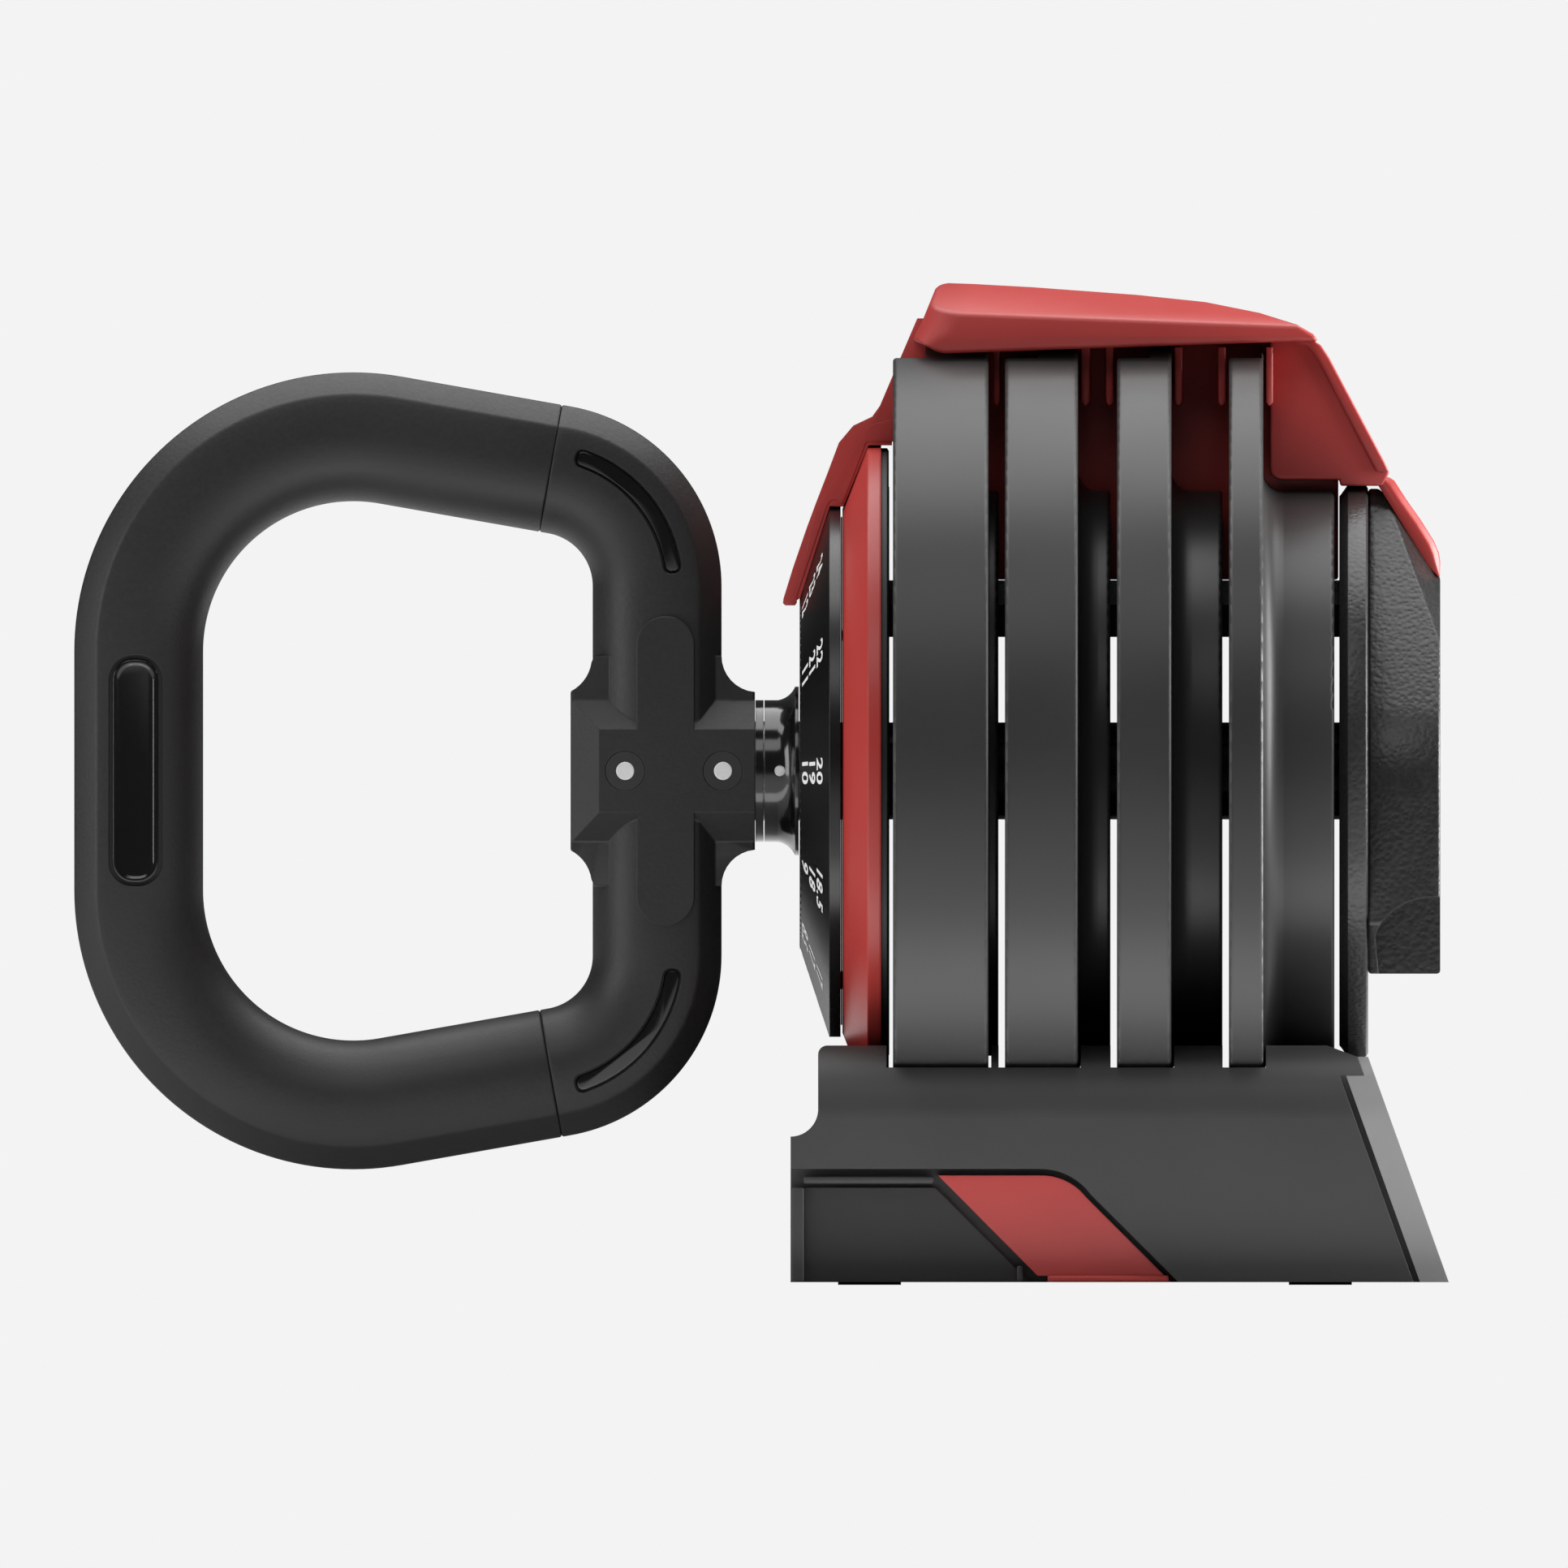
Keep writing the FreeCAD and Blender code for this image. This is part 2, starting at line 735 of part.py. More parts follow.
# ---------------------------------------------------------------- dial and selector
def make_dial():
    """Cone with a sunk front, a hub on the selector tube, a detent rib and a notched lock ring."""
    body = new_part("dial")
    sketch = sketch_on(body, "XZ")
    bowl = D.dial_front + D.dial_bowl_depth
    web = bowl + D.dial_wall
    back = D.dial_rim_end - 0.2
    outline(
        sketch,
        (bowl, D.tube_outer), (back, D.tube_outer), (back, 14.5), (web, 14.5),
        (web, 27), (back, 27), (back, 33), (web, 33),
        (web, 45.5), (web + 1.1, D.lock_ring_inner), (D.dial_rim_end, D.lock_ring_inner),
        (D.dial_rim_end, D.dial_radius), (D.dial_cone_end, D.dial_radius),
        (D.dial_front, D.dial_front_radius), (D.dial_front, D.dial_bowl_radius),
        (bowl, D.dial_bowl_radius - 1.4),
    )
    turn(body, sketch)
    notch = sketch_on(body, "YZ", D.dial_rim_end)
    half = D.lock_notch_width / 2
    rectangle(notch, -half, -(D.lock_ring_inner + D.lock_notch_depth), half, 1 - D.lock_ring_inner)
    around(body, cut(body, notch, D.dial_rim_end - web - 1.1), D.dial_steps)
    dimple = sketch_on(body, "YZ", back)
    circle(dimple, (0, 30), 1.6)
    around(body, cut(body, dimple, 0.8), D.dial_steps)


def make_selector_tube():
    body = new_part("selector_tube")
    sketch = sketch_on(body, "XZ")
    rectangle(sketch, D.tube_left, D.tube_inner, D.tube_right, D.tube_outer)
    turn(body, sketch)
    groove = sketch_on(body, "YZ", D.front_right)
    rectangle(groove, -0.8, D.tube_outer - 0.7, 0.8, D.tube_outer + 1)
    length = D.flange_left - D.front_right
    around(body, cut(body, groove, length, back=True), D.spline_count)


def make_cam(number):
    """Disc with a rim that catches its plate's lug, cut away at the settings that leave it."""
    body = new_part(f"cam_disc_{number}")
    left = plate_left(number) + D.cam_gap
    sketch = sketch_on(body, "XZ")
    outline(
        sketch,
        (left, D.tube_outer), (left + D.cam_disc, D.tube_outer),
        (left + D.cam_disc, D.cam_ring_inner), (left + D.cam_disc + D.cam_ring, D.cam_ring_inner),
        (left + D.cam_disc + D.cam_ring, D.cam_radius), (left, D.cam_radius),
    )
    turn(body, sketch)
    step = as_size(360) / D.dial_steps
    for setting, held in enumerate(HELD_AT_SETTING):
        if number in held:
            continue
        sector = sketch_on(body, "YZ", left + D.cam_disc)
        first = step * (setting - 0.5) - 90
        last = step * (setting + 0.5) - 90
        near, far = D.cam_ring_inner - 1.5, D.cam_radius + 2
        outline(
            sector,
            (near * cosine(first), near * sine(first)), (far * cosine(first), far * sine(first)),
            (far * cosine(last), far * sine(last)), (near * cosine(last), near * sine(last)),
        )
        cut(body, sector, D.cam_ring, back=True)


# ---------------------------------------------------------------- plates
def make_plate(number):
    """Cast plate: a rim, a smaller hub, an open slot for the spine and a pocket for its cam."""
    body = new_part(f"plate_{number}")
    left = plate_left(number)
    right = left + D.plate_total
    step = left + getattr(D, f"rim_{number}_thickness")
    soft = D.edge_round
    outline_sketch = sketch_on(body, "XZ")
    neck = D.hub_radius + D.hub_fillet
    blend_right = step + D.hub_fillet
    rim = (
        (left, 0), (right, 0), (right, D.hub_radius - soft), Arc(soft),
        (right - soft, D.hub_radius),
    )
    if number == 1:
        blend = ((step, D.hub_radius),)
    else:
        blend = ((blend_right, D.hub_radius), Arc(-D.hub_fillet), (step, neck))
    outline(
        outline_sketch, *rim, *blend,
        (step, D.plate_radius - soft), Arc(soft), (step - soft, D.plate_radius),
        (left + soft, D.plate_radius), Arc(soft), (left, D.plate_radius - soft),
    )
    turn(body, outline_sketch)
    reach = D.plate_radius + 5
    pocket = sketch_on(body, "YZ", left)
    outline(
        pocket,
        (-D.cam_pocket_half, reach), (-D.cam_pocket_half, 0), Arc(D.cam_pocket_half),
        (D.cam_pocket_half, 0), (D.cam_pocket_half, reach),
    )
    cut(body, pocket, D.cam_pocket_depth, back=True)
    slot = sketch_on(body, "YZ")
    outline(
        slot,
        (-D.slot_half, reach), (-D.slot_half, 0), Arc(D.slot_half),
        (D.slot_half, 0), (D.slot_half, reach),
    )
    cut_through(body, slot)
    lug = sketch_on(body, "YZ", left + D.cam_pocket_depth)
    circle(lug, (0, D.lug_height), D.lug_radius)
    pad(body, lug, D.cam_pocket_depth - D.cam_gap - D.cam_disc - 0.5, back=True)


# ---------------------------------------------------------------- head structure
def make_front_plate():
    """Round front plate with a channel for the dial lock and a seat for the detent ball."""
    body = new_part("front_plate")
    sketch = sketch_on(body, "XZ")
    outline(
        sketch,
        (D.front_left, D.bush_radius), (D.front_right, D.bush_radius),
        (D.front_right, D.front_rim_radius), (D.front_rim_start, D.front_rim_radius),
        (D.front_left, D.front_face_radius),
    )
    turn(body, sketch)
    gap = D.channel_clearance
    channel = sketch_on(body, "YZ", D.plunger_x - D.plunger_half - gap)
    half = D.plunger_width + gap
    rectangle(channel, -half, -D.front_rim_radius - 2, half, D.plunger_high + 0.5)
    cut(body, channel, (D.plunger_half + gap) * 2, back=True)
    window = sketch_on(body, "YZ", D.front_left - 1)
    rectangle(window, -half, D.foot_low - D.plunger_travel - 1, half, D.foot_top + 0.6)
    cut(body, window, D.plunger_x - D.front_left, back=True)
    seat = sketch_on(body, "YZ", D.front_left)
    circle(seat, (0, 30), 2.5)
    cut(body, seat, 6, back=True)
    screw_seats(body, D.liner_radius - 13, D.screw_radius, D.front_right, D.front_right - 6)


def screw_seats(body, circle_radius, radius, face, depth_to):
    """Six round holes about the head axis, from a face down to depth_to."""
    sketch = sketch_on(body, "YZ", depth_to)
    for turn_angle in range(0, 360, 60):
        angle = as_size(turn_angle)
        circle(sketch, (circle_radius * cosine(angle), circle_radius * sine(angle)), radius)
    cut(body, sketch, face - depth_to, back=True)


def make_liner():
    body = new_part("front_liner")
    sketch = sketch_on(body, "XZ")
    right = D.front_right + D.liner_thickness
    rectangle(sketch, D.front_right, D.bush_radius, right, D.liner_radius)
    turn(body, sketch)
    screw_seats(body, D.liner_radius - 13, D.screw_head_radius, right, D.front_right)
    screws = new_part("liner_screws")
    screws.AllowCompound = True
    for left, end, radius in (
        (D.front_right - 6, D.front_right, D.screw_radius),
        (D.front_right, right - 0.2, D.screw_head_radius),
    ):
        sketch = sketch_on(screws, "YZ", left)
        for turn_angle in range(0, 360, 60):
            angle = as_size(turn_angle)
            reach = D.liner_radius - 13
            circle(sketch, (reach * cosine(angle), reach * sine(angle)), radius)
        pad(screws, sketch, end - left)


def make_bushes():
    bore = D.tube_outer + D.bush_clearance
    disc("front_bush", D.front_left + 0.4, D.front_right + D.liner_thickness, D.bush_radius, bore)
    disc("rear_bush", D.flange_left, D.tube_right + D.end_play, D.bush_radius, bore)


def make_detent():
    ball = new_part("detent_ball")
    sketch = sketch_on(ball, "XZ")
    middle = D.front_left + 2.1
    outline(
        sketch,
        (middle - 2.4, 0), (middle + 2.4, 0), Arc(2.4),
    )
    turn(ball, sketch)
    ball.setExpression(".Placement.Base.z", (D.axis_height + 30).text)
    spring = disc("detent_spring", middle + 2.5, D.front_left + 6, 2.2)
    spring.setExpression(".Placement.Base.z", (D.axis_height + 30).text)


def make_rails():
    """Square steel rail over a plastic carrier, both running through the plates' slots."""
    left = D.front_right + D.liner_thickness
    for name, low, high in (
        ("rail_carrier", D.rail_low, D.rail_mid),
        ("support_rail", D.rail_mid, D.rail_high),
    ):
        body = new_part(name)
        sketch = sketch_on(body, "YZ", left)
        rectangle(sketch, -D.rail_half, low, D.rail_half, high)
        pad(body, sketch, D.flange_left - left)


def make_pointer_arm():
    """Arm from the hood down over the dial, with a bump for its lens and a reading window."""
    body = new_part("pointer_arm")
    sketch = sketch_on(body, "XZ")
    outline(
        sketch,
        (4.9, 36.7), (7.9, 36.7), (7.9, 38.9), (14.9, 60.4), (18.5, 60.4), (23.3, 73.0),
        (28.6, 73.0), (33.0, 73.0), (33.0, 96.9), (28.6, 86.4), (26.3, 81.0),
        (24.6, 78.6), (20.4, 76.6), (17.2, 72.8), (14.8, 66.4), (12.1, 59.4),
        (10.1, 54.0), (7.0, 45.0), (4.9, 37.8),
    )
    pad(body, sketch, D.rail_half * 2, both=True)
    skirts = sketch_on(body, "XZ", D.rail_half - 0.9)
    outline(
        skirts,
        (7.5, 37.0), (8.6, 38.7), (15.1, 58.8), (18.6, 59.2), (24.0, 73.0), (24.0, 74.0),
        (20.4, 75.0), (12.1, 58.0),
    )
    mirror(body, pad(body, skirts, 0.9), "XZ")
    window = sketch_on(body, "YZ")
    rounded_rectangle(window, (0, 48.5), 6.5, 9, 2)
    cut(body, window, D.dial_rim_end, back=True)


def make_spine_web():
    """Upright web from the rail to the hood, with fins in the gaps between the plates' rims."""
    body = new_part("spine_web")
    sketch = sketch_on(body, "XZ")
    outline(
        sketch,
        (33.2, D.rail_high), (128.0, D.rail_high), (128.0, 64.4), (139.3, 64.4),
        (126.0, 91.0), (123.8, 95.2), (33.2, 95.2),
    )
    pad(body, sketch, D.web_half * 2, both=True)
    tail = sketch_on(body, "XZ")
    outline(tail, (112.4, 64.4), (139.3, 64.4), (126.0, 91.0), (123.8, 95.2), (112.4, 95.2))
    pad(body, tail, 32, both=True)
    for number in (2, 3):
        fin = sketch_on(body, "XZ")
        left = plate_left(number) + getattr(D, f"rim_{number}_thickness") + 1.6
        rectangle(fin, left, 80, left + 2.4, 92)
        pad(body, fin, 44, both=True)


def make_hood():
    """Broad cover over the plates, hollowed to clear their rims, with bevelled upper edges."""
    body = new_part("spine_hood")
    sketch = sketch_on(body, "XZ")
    outline(
        sketch,
        (33.2, 96.0), (38.6, 92.9), (42.0, 92.5), (119.0, 96.3), (123.8, 95.6),
        (118.8, 99.0), (98.5, 103.3), (83.2, 104.6), (47.2, 108.0), (39.1, 108.2),
        (37.3, 106.2), (34.2, 99.0),
    )
    pad(body, sketch, D.hood_half * 2, both=True)
    hollow = sketch_on(body, "YZ", 30)
    circle(hollow, (0, 0), D.plate_radius + 0.7)
    cut(body, hollow, 93, back=True)
    bevel = sketch_on(body, "YZ", 30)
    for side in (1, -1):
        outline(
            bevel,
            (D.hood_half * side, 99.5), (10 * side, 110.0),
            (D.hood_half * side + 2 * side, 110.0), (D.hood_half * side + 2 * side, 98.2),
        )
    cut(body, bevel, 100, back=True)
    corner = sketch_on(body, "XY")
    for side in (1, -1):
        outline(
            corner,
            (32.0, (D.hood_half - 12) * side), (34.0, (D.hood_half - 12) * side),
            (38.0, (D.hood_half - 4) * side), (44.0, D.hood_half * side),
            (44.0, (D.hood_half + 1) * side), (32.0, (D.hood_half + 1) * side),
        )
    cut(body, corner, 120)


def make_flange():
    body = new_part("end_flange")
    sketch = sketch_on(body, "XZ")
    outline(
        sketch,
        (D.flange_left, D.bush_radius), (D.tube_right + D.end_play, D.bush_radius),
        (D.tube_right + D.end_play, D.rod_radius), (D.flange_right, D.rod_radius),
        (D.flange_right, D.flange_radius), (D.flange_step, D.flange_radius - 2),
        (D.flange_left, D.flange_radius - 2),
    )
    turn(body, sketch)


def make_end_cap():
    """Hollow cover over the rod's nut: round shoulders, a sloping top and two finger scoops."""
    body = new_part("end_cap")
    centre = D.cap_half - D.cap_shoulder
    bend_y = centre + D.cap_shoulder * cosine(D.cap_roof)
    bend_z = D.cap_shoulder_height + D.cap_shoulder * sine(D.cap_roof)
    top = bend_y - (D.cap_top - bend_z) * sine(D.cap_roof) / cosine(D.cap_roof)
    front = sketch_on(body, "YZ", D.flange_right)
    outline(
        front,
        (D.cap_half - D.cap_corner, D.cap_bottom), (D.cap_half, D.cap_bottom + D.cap_corner),
        (D.cap_half, D.cap_shoulder_height), Arc(D.cap_shoulder), (bend_y, bend_z),
        (top, D.cap_top), (-top, D.cap_top),
        (-bend_y, bend_z), Arc(D.cap_shoulder), (-D.cap_half, D.cap_shoulder_height),
        (-D.cap_half, D.cap_bottom + D.cap_corner), (D.cap_corner - D.cap_half, D.cap_bottom),
    )
    pad(body, front, D.cap_right - D.flange_right)
    slope = sketch_on(body, "XZ")
    outline(
        slope,
        (D.cap_slope_x, D.cap_top), (D.cap_slope_x + 11, D.cap_edge_height + 1.7),
        (D.cap_right, D.cap_edge_height), (D.cap_right + 1, D.cap_edge_height),
        (D.cap_right + 1, D.cap_top + 1), (D.cap_slope_x, D.cap_top + 1),
    )
    cut_through(body, slope)
    hollow = sketch_on(body, "YZ", D.flange_right)
    rounded_rectangle(hollow, (0, -4), 26, 30, 6)
    cut(body, hollow, D.cap_right - D.flange_right - D.cap_wall, back=True)
    for near in (1, -1):
        scoop = sketch_on(body, "XZ", (D.cap_half - D.scoop_depth) * near)
        outline(
            scoop,
            (D.flange_right + 2.4, D.cap_bottom - 1), (D.cap_right + 1, D.cap_bottom - 1),
            (D.cap_right + 1, D.scoop_top), (D.cap_right - 3.6, D.scoop_top), Arc(13),
        )
        cut(body, scoop, D.scoop_depth + 1, back=near > 0)


def make_nut():
    """Hexagon nut and washer that clamp the rod to the end flange."""
    nut = new_part("rod_nut")
    sketch = sketch_on(nut, "YZ", D.flange_right + 1.6)
    corners = []
    for index in range(6):
        angle = as_size(60 * index)
        corners.append((D.nut_radius * cosine(angle), D.nut_radius * sine(angle)))
    outline(sketch, *corners)
    circle(sketch, (0, 0), D.rod_radius)
    pad(nut, sketch, D.nut_length)
    disc("nut_washer", D.flange_right, D.flange_right + 1.6, D.nut_radius + 1.5, D.rod_radius)


def make_tail_strap():
    """Red strap that carries the spine's line down over the sloping top of the end cap."""
    body = new_part("tail_strap")
    sketch = sketch_on(body, "XZ")
    outline(
        sketch,
        (137.5, 62.7), (148.4, 44.9), (D.cap_right, 43.2), (D.cap_right, 46.4), (146.2, 55.3),
        (143.1, 59.4), (140.2, 63.6), (137.5, 63.6),
    )
    pad(body, sketch, 30, both=True)


def make_cap_screws():
    """Four screws in the end face of the cap, in recesses of their own."""
    screws = new_part("cap_screws")
    screws.AllowCompound = True
    cap = next(part for part in parts if part.Label == "end_cap")
    seat = D.cap_right - 1.6
    for left, right, radius in (
        (D.cap_right - 5, seat, D.screw_radius),
        (seat, D.cap_right - 0.4, D.screw_head_radius),
    ):
        shape = sketch_on(screws, "YZ", left)
        hole = sketch_on(cap, "YZ", left)
        for place in CAP_SCREW_PLACES:
            circle(shape, place, radius)
            circle(hole, place, radius)
        pad(screws, shape, right - left)
        cut(cap, hole, 10, back=True)


# ---------------------------------------------------------------- dial lock
def make_plunger():
    """Upright bar in the front plate's channel, with a foot that reaches the dial's lock ring."""
    body = new_part("lock_plunger")
    bar = sketch_on(body, "YZ", D.plunger_x - D.plunger_half)
    rectangle(bar, -D.plunger_width, D.plunger_low, D.plunger_width, D.plunger_high - 2)
    pad(body, bar, D.plunger_half * 2)
    foot = sketch_on(body, "YZ", D.foot_reach)
    rectangle(foot, -3, D.foot_low, 3, D.foot_top)
    pad(body, foot, D.plunger_x - D.foot_reach)
    spring = new_part("plunger_spring")
    sketch = sketch_on(spring, "XY", D.plunger_high - 1.9)
    circle(sketch, (D.plunger_x, 0), 1.6)
    pad(spring, sketch, 2.2)


# ---------------------------------------------------------------- tray
def make_tray_shell():
    """Moulded tray: a stepped front, a sloping back, round shoulders and a groove per plate."""
    body = new_part("tray_shell", on_axis=False)
    side = sketch_on(body, "XZ")
    slope_x = D.tray_right - D.end_panel_thickness
    outline(
        side,
        (D.tray_left, D.tray_floor), (slope_x, D.tray_floor),
        (D.tray_slope_x - D.end_panel_thickness, D.tray_slope_z), (D.tray_top_x, D.tray_top),
        (D.tray_step_x + 2, D.tray_top), Arc(2), (D.tray_step_x, D.tray_top - 2),
        (D.tray_step_x, D.tray_ledge + 6.1), Arc(-6.1), (D.tray_left, D.tray_ledge),
    )
    pad(body, side, D.tray_half * 2, both=True)
    cut_shoulders(body)
    gap = D.groove_clearance
    liner_right = D.front_right + D.liner_thickness
    trough(body, D.front_left - gap, liner_right + gap, D.front_groove_radius)
    trough(body, D.plate_start - gap, D.tray_right, D.trough_radius)
    for number in (1, 2, 3, 4):
        left = plate_left(number)
        rim = getattr(D, f"rim_{number}_thickness")
        trough(body, left - D.slit_width, left + rim + gap, D.groove_radius)
        if number > 1:
            fillet_clear = D.trough_radius + D.hub_fillet
            trough(body, left + rim, left + rim + D.hub_fillet + gap, fillet_clear)
    base = sketch_on(body, "XY", D.tray_floor)
    base_outline(base, 0)
    cut(body, base, D.base_top - D.tray_floor, back=True)
    cavity = sketch_on(body, "XY", D.base_top)
    base_outline(cavity, 0)
    for place in TRAY_SCREW_PLACES:
        circle(cavity, place, 5)
    cut(body, cavity, D.tray_cavity - D.base_top, back=True)
    holes = sketch_on(body, "XY", D.base_top)
    for place in TRAY_SCREW_PLACES:
        circle(holes, place, D.screw_radius)
    cut(body, holes, 8, back=True)
    for near in (True, False):
        face = D.tray_half - D.recess_depth
        recess = sketch_on(body, "XZ", face if near else -face)
        recess_outline(recess)
        cut(body, recess, D.recess_depth + 2, back=near)
        cheek = D.tray_half - D.panel_thickness
        seat = sketch_on(body, "XZ", cheek if near else -cheek)
        end_strip(seat, D.strip_width + D.strip_gap, 3)
        cut(body, seat, D.panel_thickness + 2, back=near)


def trough(body, left, right, radius):
    """Clear a round trough about the head axis, open at the top, between two places along it."""
    sketch = sketch_on(body, "YZ", left)
    top = D.tray_top + 20
    outline(
        sketch,
        (-radius, D.axis_height + 10), (-radius, D.axis_height), Arc(radius),
        (radius, D.axis_height), (radius, D.axis_height + 10),
    )
    cut(body, sketch, right - left, back=True)


def cut_shoulders(body):
    """Round both long upper edges of the tray."""
    shoulder = sketch_on(body, "YZ")
    inner = D.tray_half - D.tray_shoulder
    low = D.tray_top - D.tray_shoulder
    outline(
        shoulder,
        (inner, D.tray_top), (inner, D.tray_top + 4), (D.tray_half + 4, D.tray_top + 4),
        (D.tray_half + 4, low), (D.tray_half, low), Arc(D.tray_shoulder),
    )
    outline(
        shoulder,
        (-inner, D.tray_top), Arc(D.tray_shoulder), (-D.tray_half, low),
        (-D.tray_half - 4, low), (-D.tray_half - 4, D.tray_top + 4), (-inner, D.tray_top + 4),
    )
    cut(body, shoulder, 160, back=True)


def base_outline(sketch, margin):
    """The opening under the tray, drawn smaller by margin for the plate that closes it."""
    half = (D.base_right - D.base_left) / 2 - margin
    middle = (D.base_right + D.base_left) / 2
    inset = D.tray_half - D.recess_depth - D.tray_wall - margin
    rounded_rectangle(sketch, (middle, 0), half, inset, as_size(5) - margin)


def recess_outline(sketch):
    """Hand recess low on the tray's side: straight above, then rounded into a sloping end."""
    outline(
        sketch,
        (D.tray_left - 1, 0), (D.recess_right, 0),
        (D.recess_right - 20.1, 20.1), Arc(13.6), (D.recess_arc_x, D.recess_top),
        (D.tray_left - 1, D.recess_top),
    )


def end_strip(sketch, width, above):
    """Sloping strip of a width along the tray's end, reaching above its top."""
    lean = (D.tray_right - D.tray_slope_x) / (D.tray_slope_z - D.tray_floor)
    top = D.tray_top + above
    top_x = D.tray_right - lean * (top - D.tray_floor)
    outline(
        sketch,
        (D.tray_right - width, D.tray_floor), (D.tray_right, D.tray_floor),
        (top_x, top), (top_x - width, top),
    )


def make_end_panel():
    """Sloping end of the tray, with cheeks that wrap its corners."""
    body = new_part("end_panel", on_axis=False)
    strip = sketch_on(body, "XZ")
    end_strip(strip, D.strip_width, -2.5)
    pad(body, strip, D.tray_half * 2, both=True)
    inside = sketch_on(body, "XZ")
    lean = (D.tray_right - D.tray_slope_x) / (D.tray_slope_z - D.tray_floor)
    low_x = D.tray_right - D.end_panel_thickness + lean
    high_x = low_x - lean * 62
    outline(inside, (low_x - 20, -0.4), (low_x, -0.4), (high_x, 61.6), (high_x - 20, 61.6))
    cut(body, inside, (D.tray_half - D.panel_thickness) * 2, both=True)
    cut_shoulders(body)
    trough(body, as_size(120), D.tray_right, D.trough_radius)


def make_tray_base():
    body = new_part("tray_base", on_axis=False)
    sketch = sketch_on(body, "XY", D.foot_height)
    base_outline(sketch, 0.3)
    for place in TRAY_SCREW_PLACES:
        circle(sketch, place, D.screw_radius)
    pad(body, sketch, D.base_top - D.foot_height)
    seats = sketch_on(body, "XY", D.foot_height)
    for place in TRAY_SCREW_PLACES:
        circle(seats, place, D.screw_head_radius)
    cut(body, seats, 1.2, back=True)


def make_tray_fasteners():
    screws = new_part("tray_screws", on_axis=False)
    screws.AllowCompound = True
    for low, high, radius in (
        (D.foot_height + 1.2, D.base_top + 8, D.screw_radius),
        (D.foot_height + 0.2, D.foot_height + 1.2, D.screw_head_radius),
    ):
        sketch = sketch_on(screws, "XY", low)
        for place in TRAY_SCREW_PLACES:
            circle(sketch, place, radius)
        pad(screws, sketch, high - low)
    feet = new_part("rubber_feet", on_axis=False)
    feet.AllowCompound = True
    sketch = sketch_on(feet, "XY")
    for place in FOOT_PLACES:
        circle(sketch, place, D.foot_radius)
    pad(feet, sketch, D.foot_height)


def side_piece(label, draw_shape, near, thickness):
    """A flat piece on the floor of one of the tray's side recesses."""
    body = new_part(label, on_axis=False)
    floor = D.tray_half - D.recess_depth
    sketch = sketch_on(body, "XZ", floor if near else -floor)
    draw_shape(sketch)
    pad(body, sketch, thickness, back=not near)


def make_side_pieces():
    """Dark panel and red accent in the recess on either side of the tray."""
    def panel(sketch):
        outline(
            sketch,
            (D.tray_left + 3, D.tray_floor), (59.6, D.tray_floor),
            (38.6, 21.6), (D.tray_left + 3, 21.6),
        )

    def rail(sketch):
        rectangle(sketch, D.tray_left + 3, 15.8, 36.0, 21.6)

    def accent(sketch):
        outline(
            sketch,
            (61.3, 2.0), (63.5, 2.0), (63.5, D.tray_floor), (D.recess_right - 2.2, D.tray_floor),
            (D.recess_right - 21.0, 19.4), Arc(12.6), (D.recess_arc_x, D.recess_top - 1.4),
            (39.2, D.recess_top - 1.4),
        )

    for name, near in (("near", True), ("far", False)):
        side_piece(f"side_panel_{name}", panel, near, D.panel_thickness)
        side_piece(f"side_accent_{name}", accent, near, D.recess_depth - 2)


def make_lock_post():
    body = new_part("lock_post", on_axis=False)
    floor = D.axis_height - D.front_groove_radius + 0.03
    sketch = sketch_on(body, "XY", floor)
    circle(sketch, (D.plunger_x, 0), 2)
    pad(body, sketch, D.axis_height + D.plunger_low - 0.1 - floor)


# ---------------------------------------------------------------- assembly
make_grip_arch()
make_grip_core()
make_grip_yoke()
make_grip_trim()
make_pins()
make_spindle()
make_neck()
make_dial()
make_selector_tube()
for number in range(1, len(RIM_THICKNESS) + 1):
    make_cam(number)
    make_plate(number)
make_front_plate()
make_liner()
make_bushes()
make_detent()
make_rails()
make_pointer_arm()
make_spine_web()
make_hood()
make_flange()
make_end_cap()
make_nut()
make_tail_strap()
make_cap_screws()
make_plunger()
make_tray_shell()
make_end_panel()
make_tray_base()
make_tray_fasteners()
make_side_pieces()
make_lock_post()
document.recompute()

failed = [item.Label for item in document.Objects if {"Invalid", "Error"} & set(item.State)]
if failed:
    raise RuntimeError(f"these objects failed: {failed}")
os.makedirs("parts", exist_ok=True)
for part in parts:
    shape = part.Shape
    if shape.isNull() or not shape.isValid():
        raise RuntimeError(f"{part.Label} has no valid shape")
    shape.exportStep(os.path.join("parts", f"{part.Label}.step"))
    box = shape.optimalBoundingBox()
    print(
        f"{part.Label:24s} {len(shape.Solids)} solids {shape.Volume / 1000:9.2f} cm3"
        f"  x {box.XMin:7.1f} {box.XMax:7.1f}  y {box.YMin:6.1f} {box.YMax:6.1f}"
        f"  z {box.ZMin:6.1f} {box.ZMax:6.1f}"
    )
print(f"{len(parts)} parts written")
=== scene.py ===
# %% [markdown]
# # An adjustable kettlebell on its tray
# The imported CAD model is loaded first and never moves. It fixes every size, so each new piece
# is placed from the CAD boxes, in metres, and only adds what CAD leaves out: rounded edges,
# numbers, knurling, grain and paint.
# %% Load the frame
import json
import math

import bpy
from mathutils import Matrix, Vector


